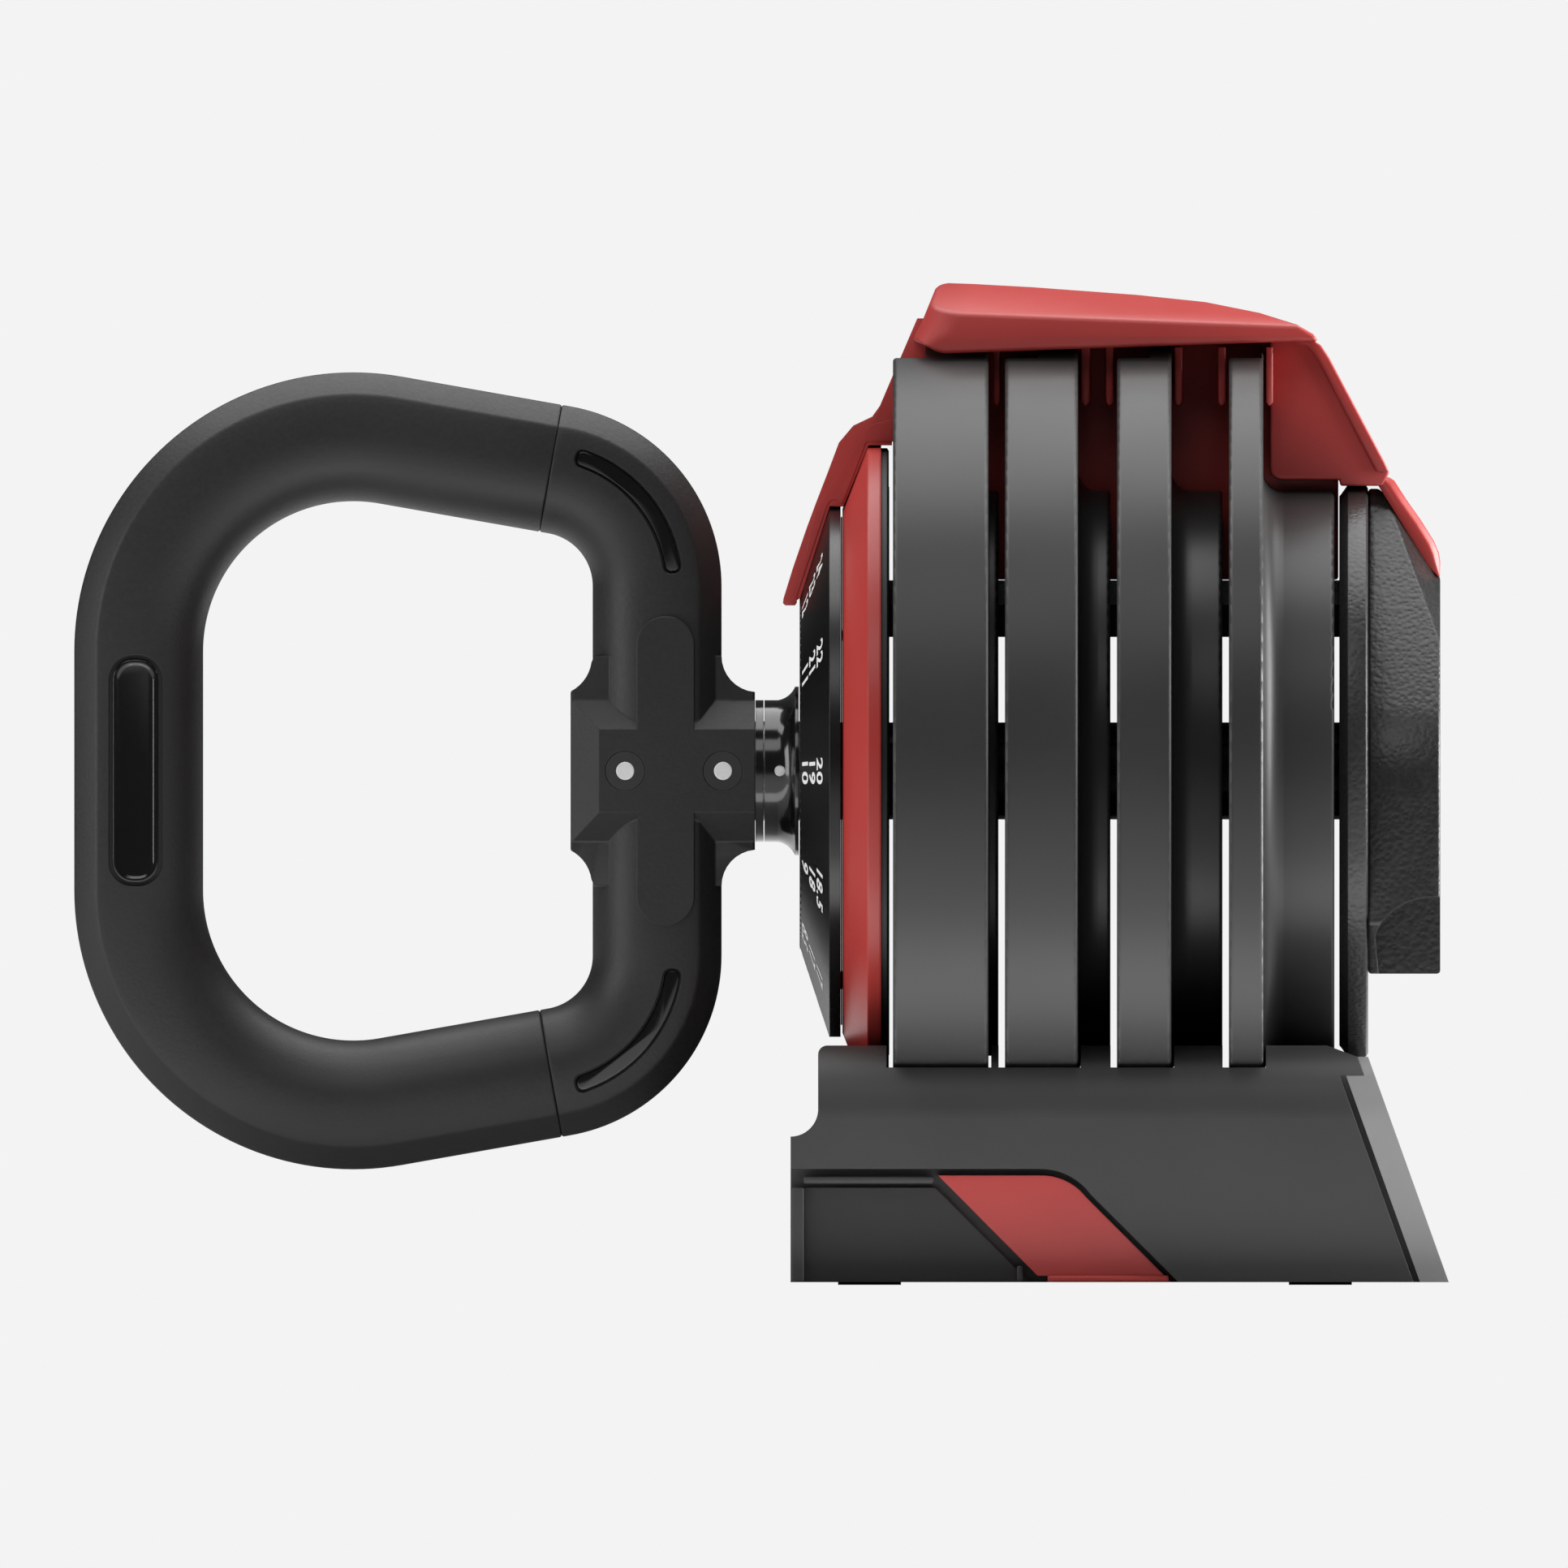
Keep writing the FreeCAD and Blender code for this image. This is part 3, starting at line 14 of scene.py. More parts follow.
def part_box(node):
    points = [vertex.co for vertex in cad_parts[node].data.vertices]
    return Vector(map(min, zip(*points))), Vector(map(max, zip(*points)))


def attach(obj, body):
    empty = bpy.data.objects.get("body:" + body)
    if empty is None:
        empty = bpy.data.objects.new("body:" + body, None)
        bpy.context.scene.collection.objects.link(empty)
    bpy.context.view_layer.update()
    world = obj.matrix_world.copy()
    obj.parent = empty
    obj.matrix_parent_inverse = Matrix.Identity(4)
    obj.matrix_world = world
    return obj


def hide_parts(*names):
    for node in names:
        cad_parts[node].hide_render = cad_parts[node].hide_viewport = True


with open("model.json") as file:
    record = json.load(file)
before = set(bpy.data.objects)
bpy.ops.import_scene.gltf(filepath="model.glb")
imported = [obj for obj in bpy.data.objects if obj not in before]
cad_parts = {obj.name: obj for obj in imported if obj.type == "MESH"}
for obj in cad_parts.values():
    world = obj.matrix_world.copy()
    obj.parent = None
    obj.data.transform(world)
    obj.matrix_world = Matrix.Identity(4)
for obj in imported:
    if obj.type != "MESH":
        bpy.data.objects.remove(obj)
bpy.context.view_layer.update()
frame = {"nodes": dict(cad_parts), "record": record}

nodes = frame["nodes"]
axis_height = sum(corner.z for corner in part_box("spindle")) / 2
print("axis of the head is", round(axis_height * 1000, 1), "mm above the floor")

# %% [markdown]
# ## Camera
# The object is seen square from its side with no perspective, so an orthographic camera looks
# along +Y. Its scale is the width of the view in metres.
# %% Camera
bpy.ops.object.select_all(action="DESELECT")
bpy.ops.object.camera_add(location=(0.00504, -1.6, 0.1111), rotation=(math.pi / 2, 0, 0))
camera = bpy.context.object
camera.name = "side_camera"
camera.data.type = "ORTHO"
camera.data.ortho_scale = 0.3478
camera.data.clip_end = 20
bpy.context.scene.camera = camera
print("view is", camera.data.ortho_scale * 1000, "mm wide")

# %% [markdown]
# ## Floor and studio light
# A pale floor throws a little soft light up under the plates, as a paper sweep does. Large area lights
# give long soft reflections: one overhead and a little behind, one on each side, one high in
# front, and a narrow light table on the floor. The standard view transform keeps colours as
# they are chosen.
# %% Colours
def shade(code):
    """Turn an sRGB hex colour into the linear values that shaders use."""
    values = [int(code[i:i + 2], 16) / 255 for i in (1, 3, 5)]
    linear = [v / 12.92 if v <= 0.04045 else ((v + 0.055) / 1.055) ** 2.4 for v in values]
    return (*linear, 1.0)


def add_node(tree, kind, inputs=None, **settings):
    """Add a shader node, set its properties and either fill or link its inputs."""
    made = tree.nodes.new("ShaderNode" + kind)
    for key, value in settings.items():
        setattr(made, key, value)
    for key, value in (inputs or {}).items():
        if isinstance(value, bpy.types.NodeSocket):
            tree.links.new(value, made.inputs[key])
        else:
            made.inputs[key].default_value = value
    return made


print("red paint in linear values:", [round(v, 3) for v in shade("#b84340")])

# %% World and lights
bpy.context.scene.view_settings.view_transform = "Standard"
world = bpy.data.worlds.new("studio")
bpy.context.scene.world = world
world.use_nodes = True
world.node_tree.nodes.clear()
path = add_node(world.node_tree, "LightPath")
fill = add_node(world.node_tree, "Background", {"Color": shade("#ffffff"), "Strength": 0.06})
seen = add_node(world.node_tree, "Background", {"Color": shade("#f3f3f3"), "Strength": 1.0})
mix = add_node(world.node_tree, "MixShader", {
    0: path.outputs["Is Camera Ray"], 1: fill.outputs[0], 2: seen.outputs[0],
})
add_node(world.node_tree, "OutputWorld", {"Surface": mix.outputs[0]})

SOFTBOXES = {
    "overhead": ((0.0, 0.15, 1.2), (0.02, 0.0, 0.1), (1.8, 1.1), 22.0),
    "right_side": ((1.3, 0.05, 0.40), (0.05, 0.0, 0.05), (0.8, 0.7), 34.0),
    "left_side": ((-1.3, -0.45, 0.35), (-0.05, 0.0, 0.1), (0.5, 0.8), 5.5),
    "front": ((-0.2, -0.95, 1.05), (0.05, 0.0, 0.12), (1.0, 0.45), 3.2),
    "light_table": ((0.02, -0.125, 0.004), (0.02, -0.125, 1.0), (0.9, 0.06), 0.38),
}
for name, (place, target, size, power) in SOFTBOXES.items():
    bpy.ops.object.light_add(type="AREA", location=place)
    light = bpy.context.object
    light.name = name
    light.data.shape = "RECTANGLE"
    light.data.size, light.data.size_y = size
    light.data.energy = power
    light.visible_camera = False
    light.rotation_euler = (Vector(target) - Vector(place)).to_track_quat("-Z", "Y").to_euler()
print(len(SOFTBOXES), "softboxes,", sum(s[3] for s in SOFTBOXES.values()), "W in all")

# %% Floor
bpy.ops.mesh.primitive_plane_add(size=6, location=(0, 0, 0))
floor = bpy.context.object
floor.name = "paper_floor"
paper = bpy.data.materials.new("matt_paper")
paper.use_nodes = True
tree = paper.node_tree
bsdf = tree.nodes["Principled BSDF"]
fibre = add_node(tree, "TexNoise", {"Scale": 400.0, "Detail": 3.0})
tone = add_node(tree, "ValToRGB", {"Fac": fibre.outputs[0]})
tone.color_ramp.elements[0].color = shade("#c6c6c6")
tone.color_ramp.elements[1].color = shade("#d0d0d0")
tree.links.new(tone.outputs[0], bsdf.inputs["Base Color"])
bsdf.inputs["Roughness"].default_value = 0.9
floor.data.materials.append(paper)
print("floor is", floor.dimensions.x, "m across")

# %% [markdown]
# ## Finishes
# Most of the object is moulded plastic or painted metal. Both are shaders of one family: a
# base colour that varies a little, a grain that tilts the light, and a roughness that varies
# with the grain. Grain is drawn from noise in object coordinates, whose scale is one over the
# grain's real size in metres. A Bevel node rounds the CAD nodes' sharp edges in the shading.
# %% Plastic and paint recipe
def moulded(name, dark, light, roughness, grain_mm, relief_mm, edge_mm=0.35, cells=False, coat=0.0):
    """A grained surface: dark and light hex tones, grain width and height in millimetres."""
    material = bpy.data.materials.new(name)
    material.use_nodes = True
    tree = material.node_tree
    bsdf = tree.nodes["Principled BSDF"]
    place = add_node(tree, "TexCoord").outputs["Object"]
    if cells:
        grain = add_node(
            tree, "TexVoronoi", {"Vector": place, "Scale": 1000 / grain_mm, "Randomness": 1.0},
            feature="SMOOTH_F1",
        )
    else:
        grain = add_node(
            tree, "TexNoise",
            {"Vector": place, "Scale": 1000 / grain_mm, "Detail": 3.0, "Roughness": 0.6},
        )
    cloud = add_node(tree, "TexNoise", {"Vector": place, "Scale": 28.0, "Detail": 4.0})
    mottle = add_node(tree, "MixRGB", {
        "Fac": 0.4, "Color1": cloud.outputs[0], "Color2": grain.outputs[0],
    })
    tone = add_node(tree, "ValToRGB", {"Fac": mottle.outputs[0]})
    tone.color_ramp.elements[0].position, tone.color_ramp.elements[1].position = 0.3, 0.7
    tone.color_ramp.elements[0].color, tone.color_ramp.elements[1].color = shade(dark), shade(light)
    gloss = add_node(tree, "MapRange", {
        "Value": mottle.outputs[0], "From Min": 0.3, "From Max": 0.7,
        "To Min": roughness - 0.05, "To Max": roughness + 0.05,
    })
    rounded = add_node(tree, "Bevel", {"Radius": edge_mm / 1000}, samples=4)
    bump = add_node(tree, "Bump", {
        "Height": grain.outputs[0], "Distance": relief_mm / 1000, "Strength": 1.0,
        "Normal": rounded.outputs[0],
    })
    tree.links.new(tone.outputs[0], bsdf.inputs["Base Color"])
    tree.links.new(gloss.outputs[0], bsdf.inputs["Roughness"])
    tree.links.new(bump.outputs[0], bsdf.inputs["Normal"])
    bsdf.inputs["IOR"].default_value = 1.5
    if coat:
        bsdf.inputs["Coat Weight"].default_value = coat
        bsdf.inputs["Coat Roughness"].default_value = 0.12
    return material


def bare_metal(name, dark, light, roughness, line_mm, stretch=(1, 1, 1)):
    """Turned or plated metal: fine lines along one direction, stretched noise."""
    material = bpy.data.materials.new(name)
    material.use_nodes = True
    tree = material.node_tree
    bsdf = tree.nodes["Principled BSDF"]
    place = add_node(tree, "TexCoord").outputs["Object"]
    along = add_node(tree, "Mapping", {"Vector": place, "Scale": stretch})
    lines = add_node(tree, "TexNoise", {
        "Vector": along.outputs[0], "Scale": 1000 / line_mm, "Detail": 2.0,
    })
    tone = add_node(tree, "ValToRGB", {"Fac": lines.outputs[0]})
    tone.color_ramp.elements[0].color, tone.color_ramp.elements[1].color = shade(dark), shade(light)
    gloss = add_node(tree, "MapRange", {
        "Value": lines.outputs[0], "To Min": roughness - 0.06, "To Max": roughness + 0.06,
    })
    rounded = add_node(tree, "Bevel", {"Radius": 0.0003}, samples=4)
    bump = add_node(tree, "Bump", {
        "Height": lines.outputs[0], "Distance": 0.00002, "Normal": rounded.outputs[0],
    })
    tree.links.new(tone.outputs[0], bsdf.inputs["Base Color"])
    tree.links.new(gloss.outputs[0], bsdf.inputs["Roughness"])
    tree.links.new(bump.outputs[0], bsdf.inputs["Normal"])
    bsdf.inputs["Metallic"].default_value = 1.0
    return material


# %% Finishes of the CAD nodes
# Moulded nylon and ABS show a fine even grain, and polished moulds a mirror-like gloss. The
# cap's mould is etched like leather. Paint hides the iron's grain and rounds its edges, and
# turned or plated steel shows fine lines.
FINISHES = {
    "grip_black": moulded("soft_touch_nylon", "#1b1b1b", "#202020", 0.5, 0.8, 0.03, cells=True),
    "gloss_black": moulded("gloss_black_abs", "#0c0c0c", "#121212", 0.12, 1.5, 0.0004, coat=0.4),
    "washer_black": moulded("black_zinc_washer", "#222222", "#2c2c2c", 0.45, 0.3, 0.003, edge_mm=0.15),
    "dial_black": moulded("satin_black_abs", "#080808", "#0e0e0e", 0.3, 0.6, 0.001),
    "dark_plastic": moulded("dark_polypropylene", "#191919", "#202020", 0.5, 0.5, 0.006),
    "bush_plastic": moulded("natural_acetal", "#b4b4ae", "#bebeb8", 0.35, 0.6, 0.003),
    "grained_black": moulded("leather_grained_abs", "#202020", "#2a2a2a", 0.36, 1.0, 0.11, cells=True),
    "tray_black": moulded("spark_eroded_abs", "#2a2a2a", "#303030", 0.5, 0.4, 0.012),
    # painted light: the tray's end panel is black plastic, given a mid grey for the light its face catches from
    # the right
    "tray_end": moulded("black_abs_painted_light_grey", "#7c7c7c", "#828282", 0.45, 0.4, 0.01),
    "foot_rubber": moulded("moulded_rubber", "#161616", "#1d1d1d", 0.75, 0.5, 0.01),
    "red_plastic": moulded("red_moulded_abs", "#a33532", "#ac3936", 0.4, 0.5, 0.003),
    "red_painted": moulded("red_satin_paint", "#b23a35", "#b93d39", 0.38, 0.8, 0.004, edge_mm=0.8),
    "black_painted": moulded("black_powder_coat", "#1b1b1b", "#222222", 0.45, 0.7, 0.02),
    "black_screws": moulded("black_oxide_steel", "#141414", "#1c1c1c", 0.35, 0.4, 0.003, edge_mm=0.15),
    "plate_iron": moulded("satin_painted_iron", "#2c2c2c", "#313131", 0.42, 0.9, 0.006, edge_mm=0.6),
    "zinc_screws": bare_metal("zinc_plated_steel", "#8f9396", "#b0b4b6", 0.3, 0.5),
    "steel": bare_metal("turned_steel", "#7d7f80", "#9fa1a2", 0.28, 0.4, (1, 8, 8)),
    "dark_steel": bare_metal("phosphated_steel", "#2e2f30", "#3d3e3f", 0.4, 0.5),
    "polished_steel": bare_metal("satin_steel_pin", "#ececec", "#f6f6f6", 0.55, 0.6),
}
slot_of = {}
for entry in frame["record"]["materials"]:
    for node_name in entry.get("nodes", []):
        slot_of[node_name] = entry["slot"]
for node_name, item in nodes.items():
    slot = item.material_slots[0].material.name.split(".")[0] if item.material_slots else slot_of.get(node_name)
    item.data.materials.clear()
    # painted shade: the side panels in the tray's recesses take the darker dark_plastic finish in place of
    # their own slot's, for the shade that falls in the recesses
    finish = "dark_plastic" if node_name.startswith("side_panel") else slot
    item.data.materials.append(FINISHES[finish])
print(len(FINISHES), "finishes on", len(nodes), "nodes")

# %% [markdown]
# ## Modelling helpers
# A moulded or bent part is drawn the way a drawing is: one vertex is extruded from corner to
# corner, the outline is filled and given a thickness, and its edges are rounded. A turned part
# is half a profile spun about the head's axis. Each helper does one of these steps.
# %% Helpers for drawing, turning and rounding
MM = 0.001


def beside(x, rise, y=0.0):
    """A place given as on a side view: millimetres along the axis and above it."""
    return Vector((x * MM, y * MM, axis_height + rise * MM))


def draw(name, corners, fill=True):
    """Extrude one vertex from corner to corner, then fill the outline."""
    bpy.ops.object.select_all(action="DESELECT")
    bpy.ops.mesh.primitive_plane_add(size=MM, location=corners[0])
    piece = bpy.context.object
    piece.name = name
    bpy.ops.object.transform_apply()
    bpy.ops.object.mode_set(mode="EDIT")
    bpy.ops.mesh.select_mode(type="VERT")
    bpy.ops.mesh.select_all(action="SELECT")
    bpy.ops.mesh.merge(type="CENTER")
    for here, there in zip(corners, corners[1:]):
        bpy.ops.mesh.extrude_vertices_move(TRANSFORM_OT_translate={"value": there - here})
    if fill:
        bpy.ops.mesh.select_all(action="SELECT")
        bpy.ops.mesh.edge_face_add()
    return piece


def pick(piece, kind, test):
    """Stay in edit mode with only those parts selected whose middle and normal pass a test."""
    bpy.context.view_layer.objects.active = piece
    bpy.ops.object.mode_set(mode="EDIT")
    bpy.ops.mesh.select_mode(type=kind)
    bpy.ops.mesh.select_all(action="DESELECT")
    bpy.ops.object.mode_set(mode="OBJECT")
    mesh = piece.data
    places = [v.co / MM - Vector((0, 0, axis_height / MM)) for v in mesh.vertices]
    if kind == "EDGE":
        for edge in mesh.edges:
            a, b = (places[i] for i in edge.vertices)
            edge.select = test((a + b) / 2, (b - a).normalized())
    elif kind == "FACE":
        for face in mesh.polygons:
            middle = sum((places[i] for i in face.vertices), Vector()) / len(face.vertices)
            face.select = test(middle, face.normal)
    bpy.ops.object.mode_set(mode="EDIT")


def tidy(piece):
    """Merge doubled vertices and point every face outwards."""
    bpy.context.view_layer.objects.active = piece
    bpy.ops.object.mode_set(mode="EDIT")
    bpy.ops.mesh.select_all(action="SELECT")
    bpy.ops.mesh.remove_doubles(threshold=1e-6)
    bpy.ops.mesh.normals_make_consistent(inside=False)
    bpy.ops.object.mode_set(mode="OBJECT")


def slab(name, corners, low, high):
    """An outline in the side view, given a thickness across the object from low to high (mm)."""
    piece = draw(name, [beside(x, rise, low) for x, rise in corners])
    bpy.ops.mesh.extrude_region_move(TRANSFORM_OT_translate={"value": (0, (high - low) * MM, 0)})
    tidy(piece)
    return piece


def turned(name, profile, steps=144):
    """A ring turned about the head's axis from a closed profile of (x, radius) in mm."""
    piece = draw(name, [beside(x, r) for x, r in [*profile, profile[0]]], fill=False)
    bpy.ops.mesh.select_all(action="SELECT")
    bpy.ops.mesh.spin(steps=steps, angle=2 * math.pi, center=(0, 0, axis_height), axis=(1, 0, 0))
    tidy(piece)
    return piece


def apply_modifier(piece, kind, **settings):
    """Add a modifier, set it and apply it."""
    bpy.context.view_layer.objects.active = piece
    modifier = piece.modifiers.new(kind.lower(), kind)
    for key, value in settings.items():
        setattr(modifier, key, value)
    bpy.ops.object.modifier_apply(modifier=modifier.name)


def round_edges(piece, width, segments=3, angle=28):
    """Round every edge sharper than an angle in degrees, by a width in millimetres."""
    apply_modifier(
        piece, "BEVEL", width=width * MM, segments=segments,
        limit_method="ANGLE", angle_limit=math.radians(angle),
    )


def take_away(piece, *cutters):
    """Cut other shapes out of a piece and remove them."""
    for cutter in cutters:
        apply_modifier(piece, "BOOLEAN", object=cutter, operation="DIFFERENCE", solver="EXACT")
        bpy.data.objects.remove(cutter)


def join(name, pieces):
    """Make several pieces one object."""
    bpy.ops.object.select_all(action="DESELECT")
    for part in pieces:
        part.select_set(True)
    bpy.context.view_layer.objects.active = pieces[0]
    bpy.ops.object.join()
    pieces[0].name = name
    return pieces[0]


def settle(piece, body, slot, *stands_for, smooth=35, finish=None):
    """Shade, paint and hand a finished piece to its body, in place of the nodes it stands for."""
    bpy.ops.object.select_all(action="DESELECT")
    piece.select_set(True)
    bpy.context.view_layer.objects.active = piece
    bpy.ops.object.shade_smooth_by_angle(angle=math.radians(smooth))
    piece.data.materials.clear()
    piece.data.materials.append(finish or FINISHES[slot])
    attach(piece, body)
    if stands_for:
        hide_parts(*stands_for)
    size = [round(v * 1000, 1) for v in piece.dimensions]
    print(f"{piece.name}: {size} mm, {len(piece.data.polygons)} faces")


def arc(centre, radius, first, last, steps=8):
    """Points along an arc in the side view, angles in degrees anticlockwise from +X."""
    turns = [math.radians(first + (last - first) * i / steps) for i in range(steps + 1)]
    return [(centre[0] + radius * math.cos(t), centre[1] + radius * math.sin(t)) for t in turns]


# %% [markdown]
# ## The handle
# The handle is a D of soft-touch nylon over a steel core, made as an arch and a yoke that meet
# at two seams. Its section is half round on the inside, for the fingers, and chamfered to a
# flat on the outside. The section is drawn once and carried along the D by extruding the
# straights and spinning the bends. Only the upper half is made, and then mirrored.
# Lengths are in millimetres; a bend is (x, height above the axis, radius) of its middle line.
# %% Section and sweep
TUBE = 14.3
SEAM_LEAN = math.radians(10)
SEAM_RUN = 2.0
ARCH_BEND = (-90.5, 26.5, 47.6)
CORNER = (-49.3, 40.965, 26.2)


def grip_section(name, x, outward):
    """The grip's outline, seen along the tube: outward is -1 or 1 along X."""
    turns = [math.pi * i / 24 for i in range(1, 24)]
    inside = [(-TUBE * math.sin(turn), -TUBE * math.cos(turn)) for turn in turns]
    gentle = [(9.4 * i / 5, TUBE - 1.1 * (i / 5) ** 2) for i in range(6)]
    flat = [(TUBE, 8.0), (TUBE, -8.0)]
    ring = [*inside, *gentle, *flat, *[(a, -b) for a, b in reversed(gentle)]]
    ring.append(ring[0])
    piece = draw(name, [beside(x + a * outward, 0, b) for a, b in ring], fill=False)
    bpy.ops.mesh.select_all(action="SELECT")
    return piece


def run(x, rise):
    """Extrude the selected ring by a straight step."""
    bpy.ops.mesh.extrude_region_move(TRANSFORM_OT_translate={"value": (x * MM, 0, rise * MM)})


def bend(centre, degrees, steps):
    """Spin the selected ring about a centre in the side view, clockwise when positive."""
    bpy.ops.mesh.spin(
        steps=steps, angle=-math.radians(degrees), center=beside(*centre), axis=(0, 1, 0),
    )


def mirror_below(piece):
    """Add the lower half, merge it at the middle and close the open ends."""
    bpy.ops.mesh.select_all(action="SELECT")
    bpy.ops.mesh.duplicate()
    bpy.ops.transform.resize(value=(1, 1, -1), center_override=(0, 0, axis_height))
    bpy.ops.mesh.select_all(action="SELECT")
    bpy.ops.mesh.remove_doubles(threshold=1e-6)
    bpy.ops.mesh.select_all(action="DESELECT")
    bpy.ops.mesh.select_non_manifold(extend=False)
    bpy.ops.mesh.fill_holes(sides=0)
    tidy(piece)


def rounded_block(name, left, right, low, high, near, far, corner):
    """A block whose edges across the object are rounded: a cutter or an insert."""
    block = slab(name, [(left, low), (right, low), (right, high), (left, high)], near, far)
    pick(block, "EDGE", lambda middle, along: abs(along.y) > 0.9)
    bpy.ops.mesh.bevel(offset=corner * MM, segments=8, affect="EDGES")
    bpy.ops.object.mode_set(mode="OBJECT")
    return block


# %% Arch
arch = grip_section("arch_sleeve", ARCH_BEND[0] - ARCH_BEND[2], -1)
run(0, ARCH_BEND[1])
bend(ARCH_BEND[:2], 100, 50)
lean_x, lean_z = math.sin(SEAM_LEAN), math.cos(SEAM_LEAN)
seam_x = CORNER[0] + CORNER[2] * lean_x - SEAM_RUN * lean_z
seam_rise = CORNER[1] + CORNER[2] * lean_z + SEAM_RUN * lean_x
bend_end = (ARCH_BEND[0] + ARCH_BEND[2] * lean_x, ARCH_BEND[1] + ARCH_BEND[2] * lean_z)
run(seam_x - bend_end[0], seam_rise - bend_end[1])
mirror_below(arch)
round_edges(arch, 0.45, 3, 25)
print("arch is", [round(v * 1000, 1) for v in arch.dimensions], "mm")
LABEL_X = -138.8
RECESS_HALF = (5.95, 25.65)
INSERT_HALF = (5.05, 24.75)
SEAT_DEPTH = 12.9
recesses = []
for side in (1, -1):
    recesses.append(rounded_block(
        "label_recess", LABEL_X - RECESS_HALF[0], LABEL_X + RECESS_HALF[0],
        -RECESS_HALF[1], RECESS_HALF[1], *sorted((SEAT_DEPTH * side, 16.0 * side)), 5.4,
    ))
take_away(arch, *recesses)
settle(arch, "head", "grip_black", "grip_arch", smooth=30)

# %% Label inserts
inserts = []
for side in (1, -1):
    insert = rounded_block(
        "insert", LABEL_X - INSERT_HALF[0], LABEL_X + INSERT_HALF[0],
        -INSERT_HALF[1], INSERT_HALF[1], *sorted((SEAT_DEPTH * side, 13.9 * side)), 4.5,
    )
    pick(insert, "FACE", lambda middle, normal: normal.y * side > 0.9)
    bpy.ops.mesh.inset(thickness=0.9 * MM, depth=0)
    bpy.ops.mesh.inset(thickness=0.4 * MM, depth=-0.35 * MM)
    bpy.ops.object.mode_set(mode="OBJECT")
    round_edges(insert, 0.3, 3, 30)
    inserts.append(insert)
settle(join("label_inserts", inserts), "head", "gloss_black", "grip_labels")

# %% [markdown]
# ## The yoke
# The yoke closes the D. Its cross holds the spindle: a block with bevelled flanks across, a
# flat pad along the bar, and a throat that blends both into the bar. The three are closed
# shapes that stand in each other. They are joined and not fused, because fusing so many
# faces that lie in one plane leaves holes, and what is inside never shows.
# %% Shapes of the yoke
BOSS_LEFT, BOSS_LENGTH, BOSS_HALF, PAD_HALF = -42.3, 40.9, 17.5, 14.8
INNER_BLEND = arc((-46.2, 25.3), 8.6, 0, -63, 8)[1:]
OUTER_BLEND = arc((-0.8, 25.5), 8.0, 180, 265, 8)[1:]
yoke = grip_section("yoke_sleeve", CORNER[0] + CORNER[2], 1)
run(0, CORNER[1])
bend(CORNER[:2], -80, 36)
run(-SEAM_RUN * lean_z, SEAM_RUN * lean_x)
mirror_below(yoke)
flank = [(-8, -BOSS_HALF), (8, -BOSS_HALF), (PAD_HALF, -9.2), (PAD_HALF, 9.2)]
flank += [(-y, -z) for y, z in flank]
boss = draw("yoke_boss", [beside(BOSS_LEFT, z, y) for y, z in flank])
bpy.ops.mesh.extrude_region_move(TRANSFORM_OT_translate={"value": (BOSS_LENGTH * MM, 0, 0)})
tidy(boss)
for side in (1, -1):
    pick(boss, "FACE", lambda middle, normal: True)
    bpy.ops.mesh.bisect(
        plane_co=beside(-36, 0, PAD_HALF * side), plane_no=(-0.66, 0.75 * side, 0),
        clear_outer=True, use_fill=True,
    )
    tidy(boss)
throat = slab("yoke_throat", [
    (-37.0, 25.5), *INNER_BLEND, (-42.0, 17.5),
    (-42.0, -17.5), *[(x, -z) for x, z in reversed(INNER_BLEND)], (-37.0, -25.5),
    (-8.8, -25.5), *[(x, -z) for x, z in OUTER_BLEND], (-1.7, -17.4),
    (-1.7, 17.4), *reversed(OUTER_BLEND), (-8.8, 25.5),
], -9.5, 9.5)
round_edges(throat, 0.8, 3, 60)
arm_pad = rounded_block("yoke_pad", -27.5, -14.9, -34.2, 34.2, -PAD_HALF, PAD_HALF, 6.25)
round_edges(yoke, 0.5, 3, 25)
apply_modifier(boss, "BOOLEAN", object=arm_pad, operation="UNION", solver="EXACT")
bpy.data.objects.remove(arm_pad)


# %% Seats, grooves and bore
def corner_strip(name, radii, angles, steps, upward, side, depths, end_round):
    """A bent strip along a corner of the yoke, with rounded ends: upward and side are 1 or -1."""
    span = angles[1] - angles[0]
    turns = [math.radians(angles[0] + span * i / steps) for i in range(steps + 1)]
    edge = [(radii[1], turn) for turn in turns] + [(radii[0], turn) for turn in reversed(turns)]
    edge = [
        (CORNER[0] + r * math.cos(turn), (CORNER[1] + r * math.sin(turn)) * upward)
        for r, turn in edge
    ]
    strip = slab(name, edge, *sorted(depth * side for depth in depths))

    def at_an_end(middle, along):
        turn = math.degrees(math.atan2(abs(middle.z) - CORNER[1], middle.x - CORNER[0]))
        return abs(along.y) > 0.9 and min(abs(turn - angle) for angle in angles) < 0.6

    pick(strip, "EDGE", at_an_end)
    bpy.ops.mesh.bevel(offset=end_round * MM, segments=6, affect="EDGES")
    bpy.ops.object.mode_set(mode="OBJECT")
    return strip


seats = []
for x in (-30.2, -8.5):
    for side in (1, -1):
        bpy.ops.mesh.primitive_cylinder_add(
            vertices=48, radius=4.4 * MM, depth=2.4 * MM, location=beside(x, 0, PAD_HALF * side),
            rotation=(math.pi / 2, 0, 0),
        )
        bpy.ops.object.transform_apply()
        seats.append(bpy.context.object)
take_away(boss, *seats)
grooves = []
for upward in (1, -1):
    for side in (1, -1):
        grooves.append(corner_strip(
            "inlay_groove", (27.8, 32.0), (5.5, 74.5), 16, upward, side, (12.7, 16), 1.7,
        ))
take_away(yoke, *grooves)
for block in (yoke, boss, throat):
    take_away(block, turned("spindle_bore", [(-34.0, 0.5), (-34.0, 11.0), (0, 11.0), (0, 0.5)], 64))
    print(block.name, len(block.data.polygons), "faces after its bore")
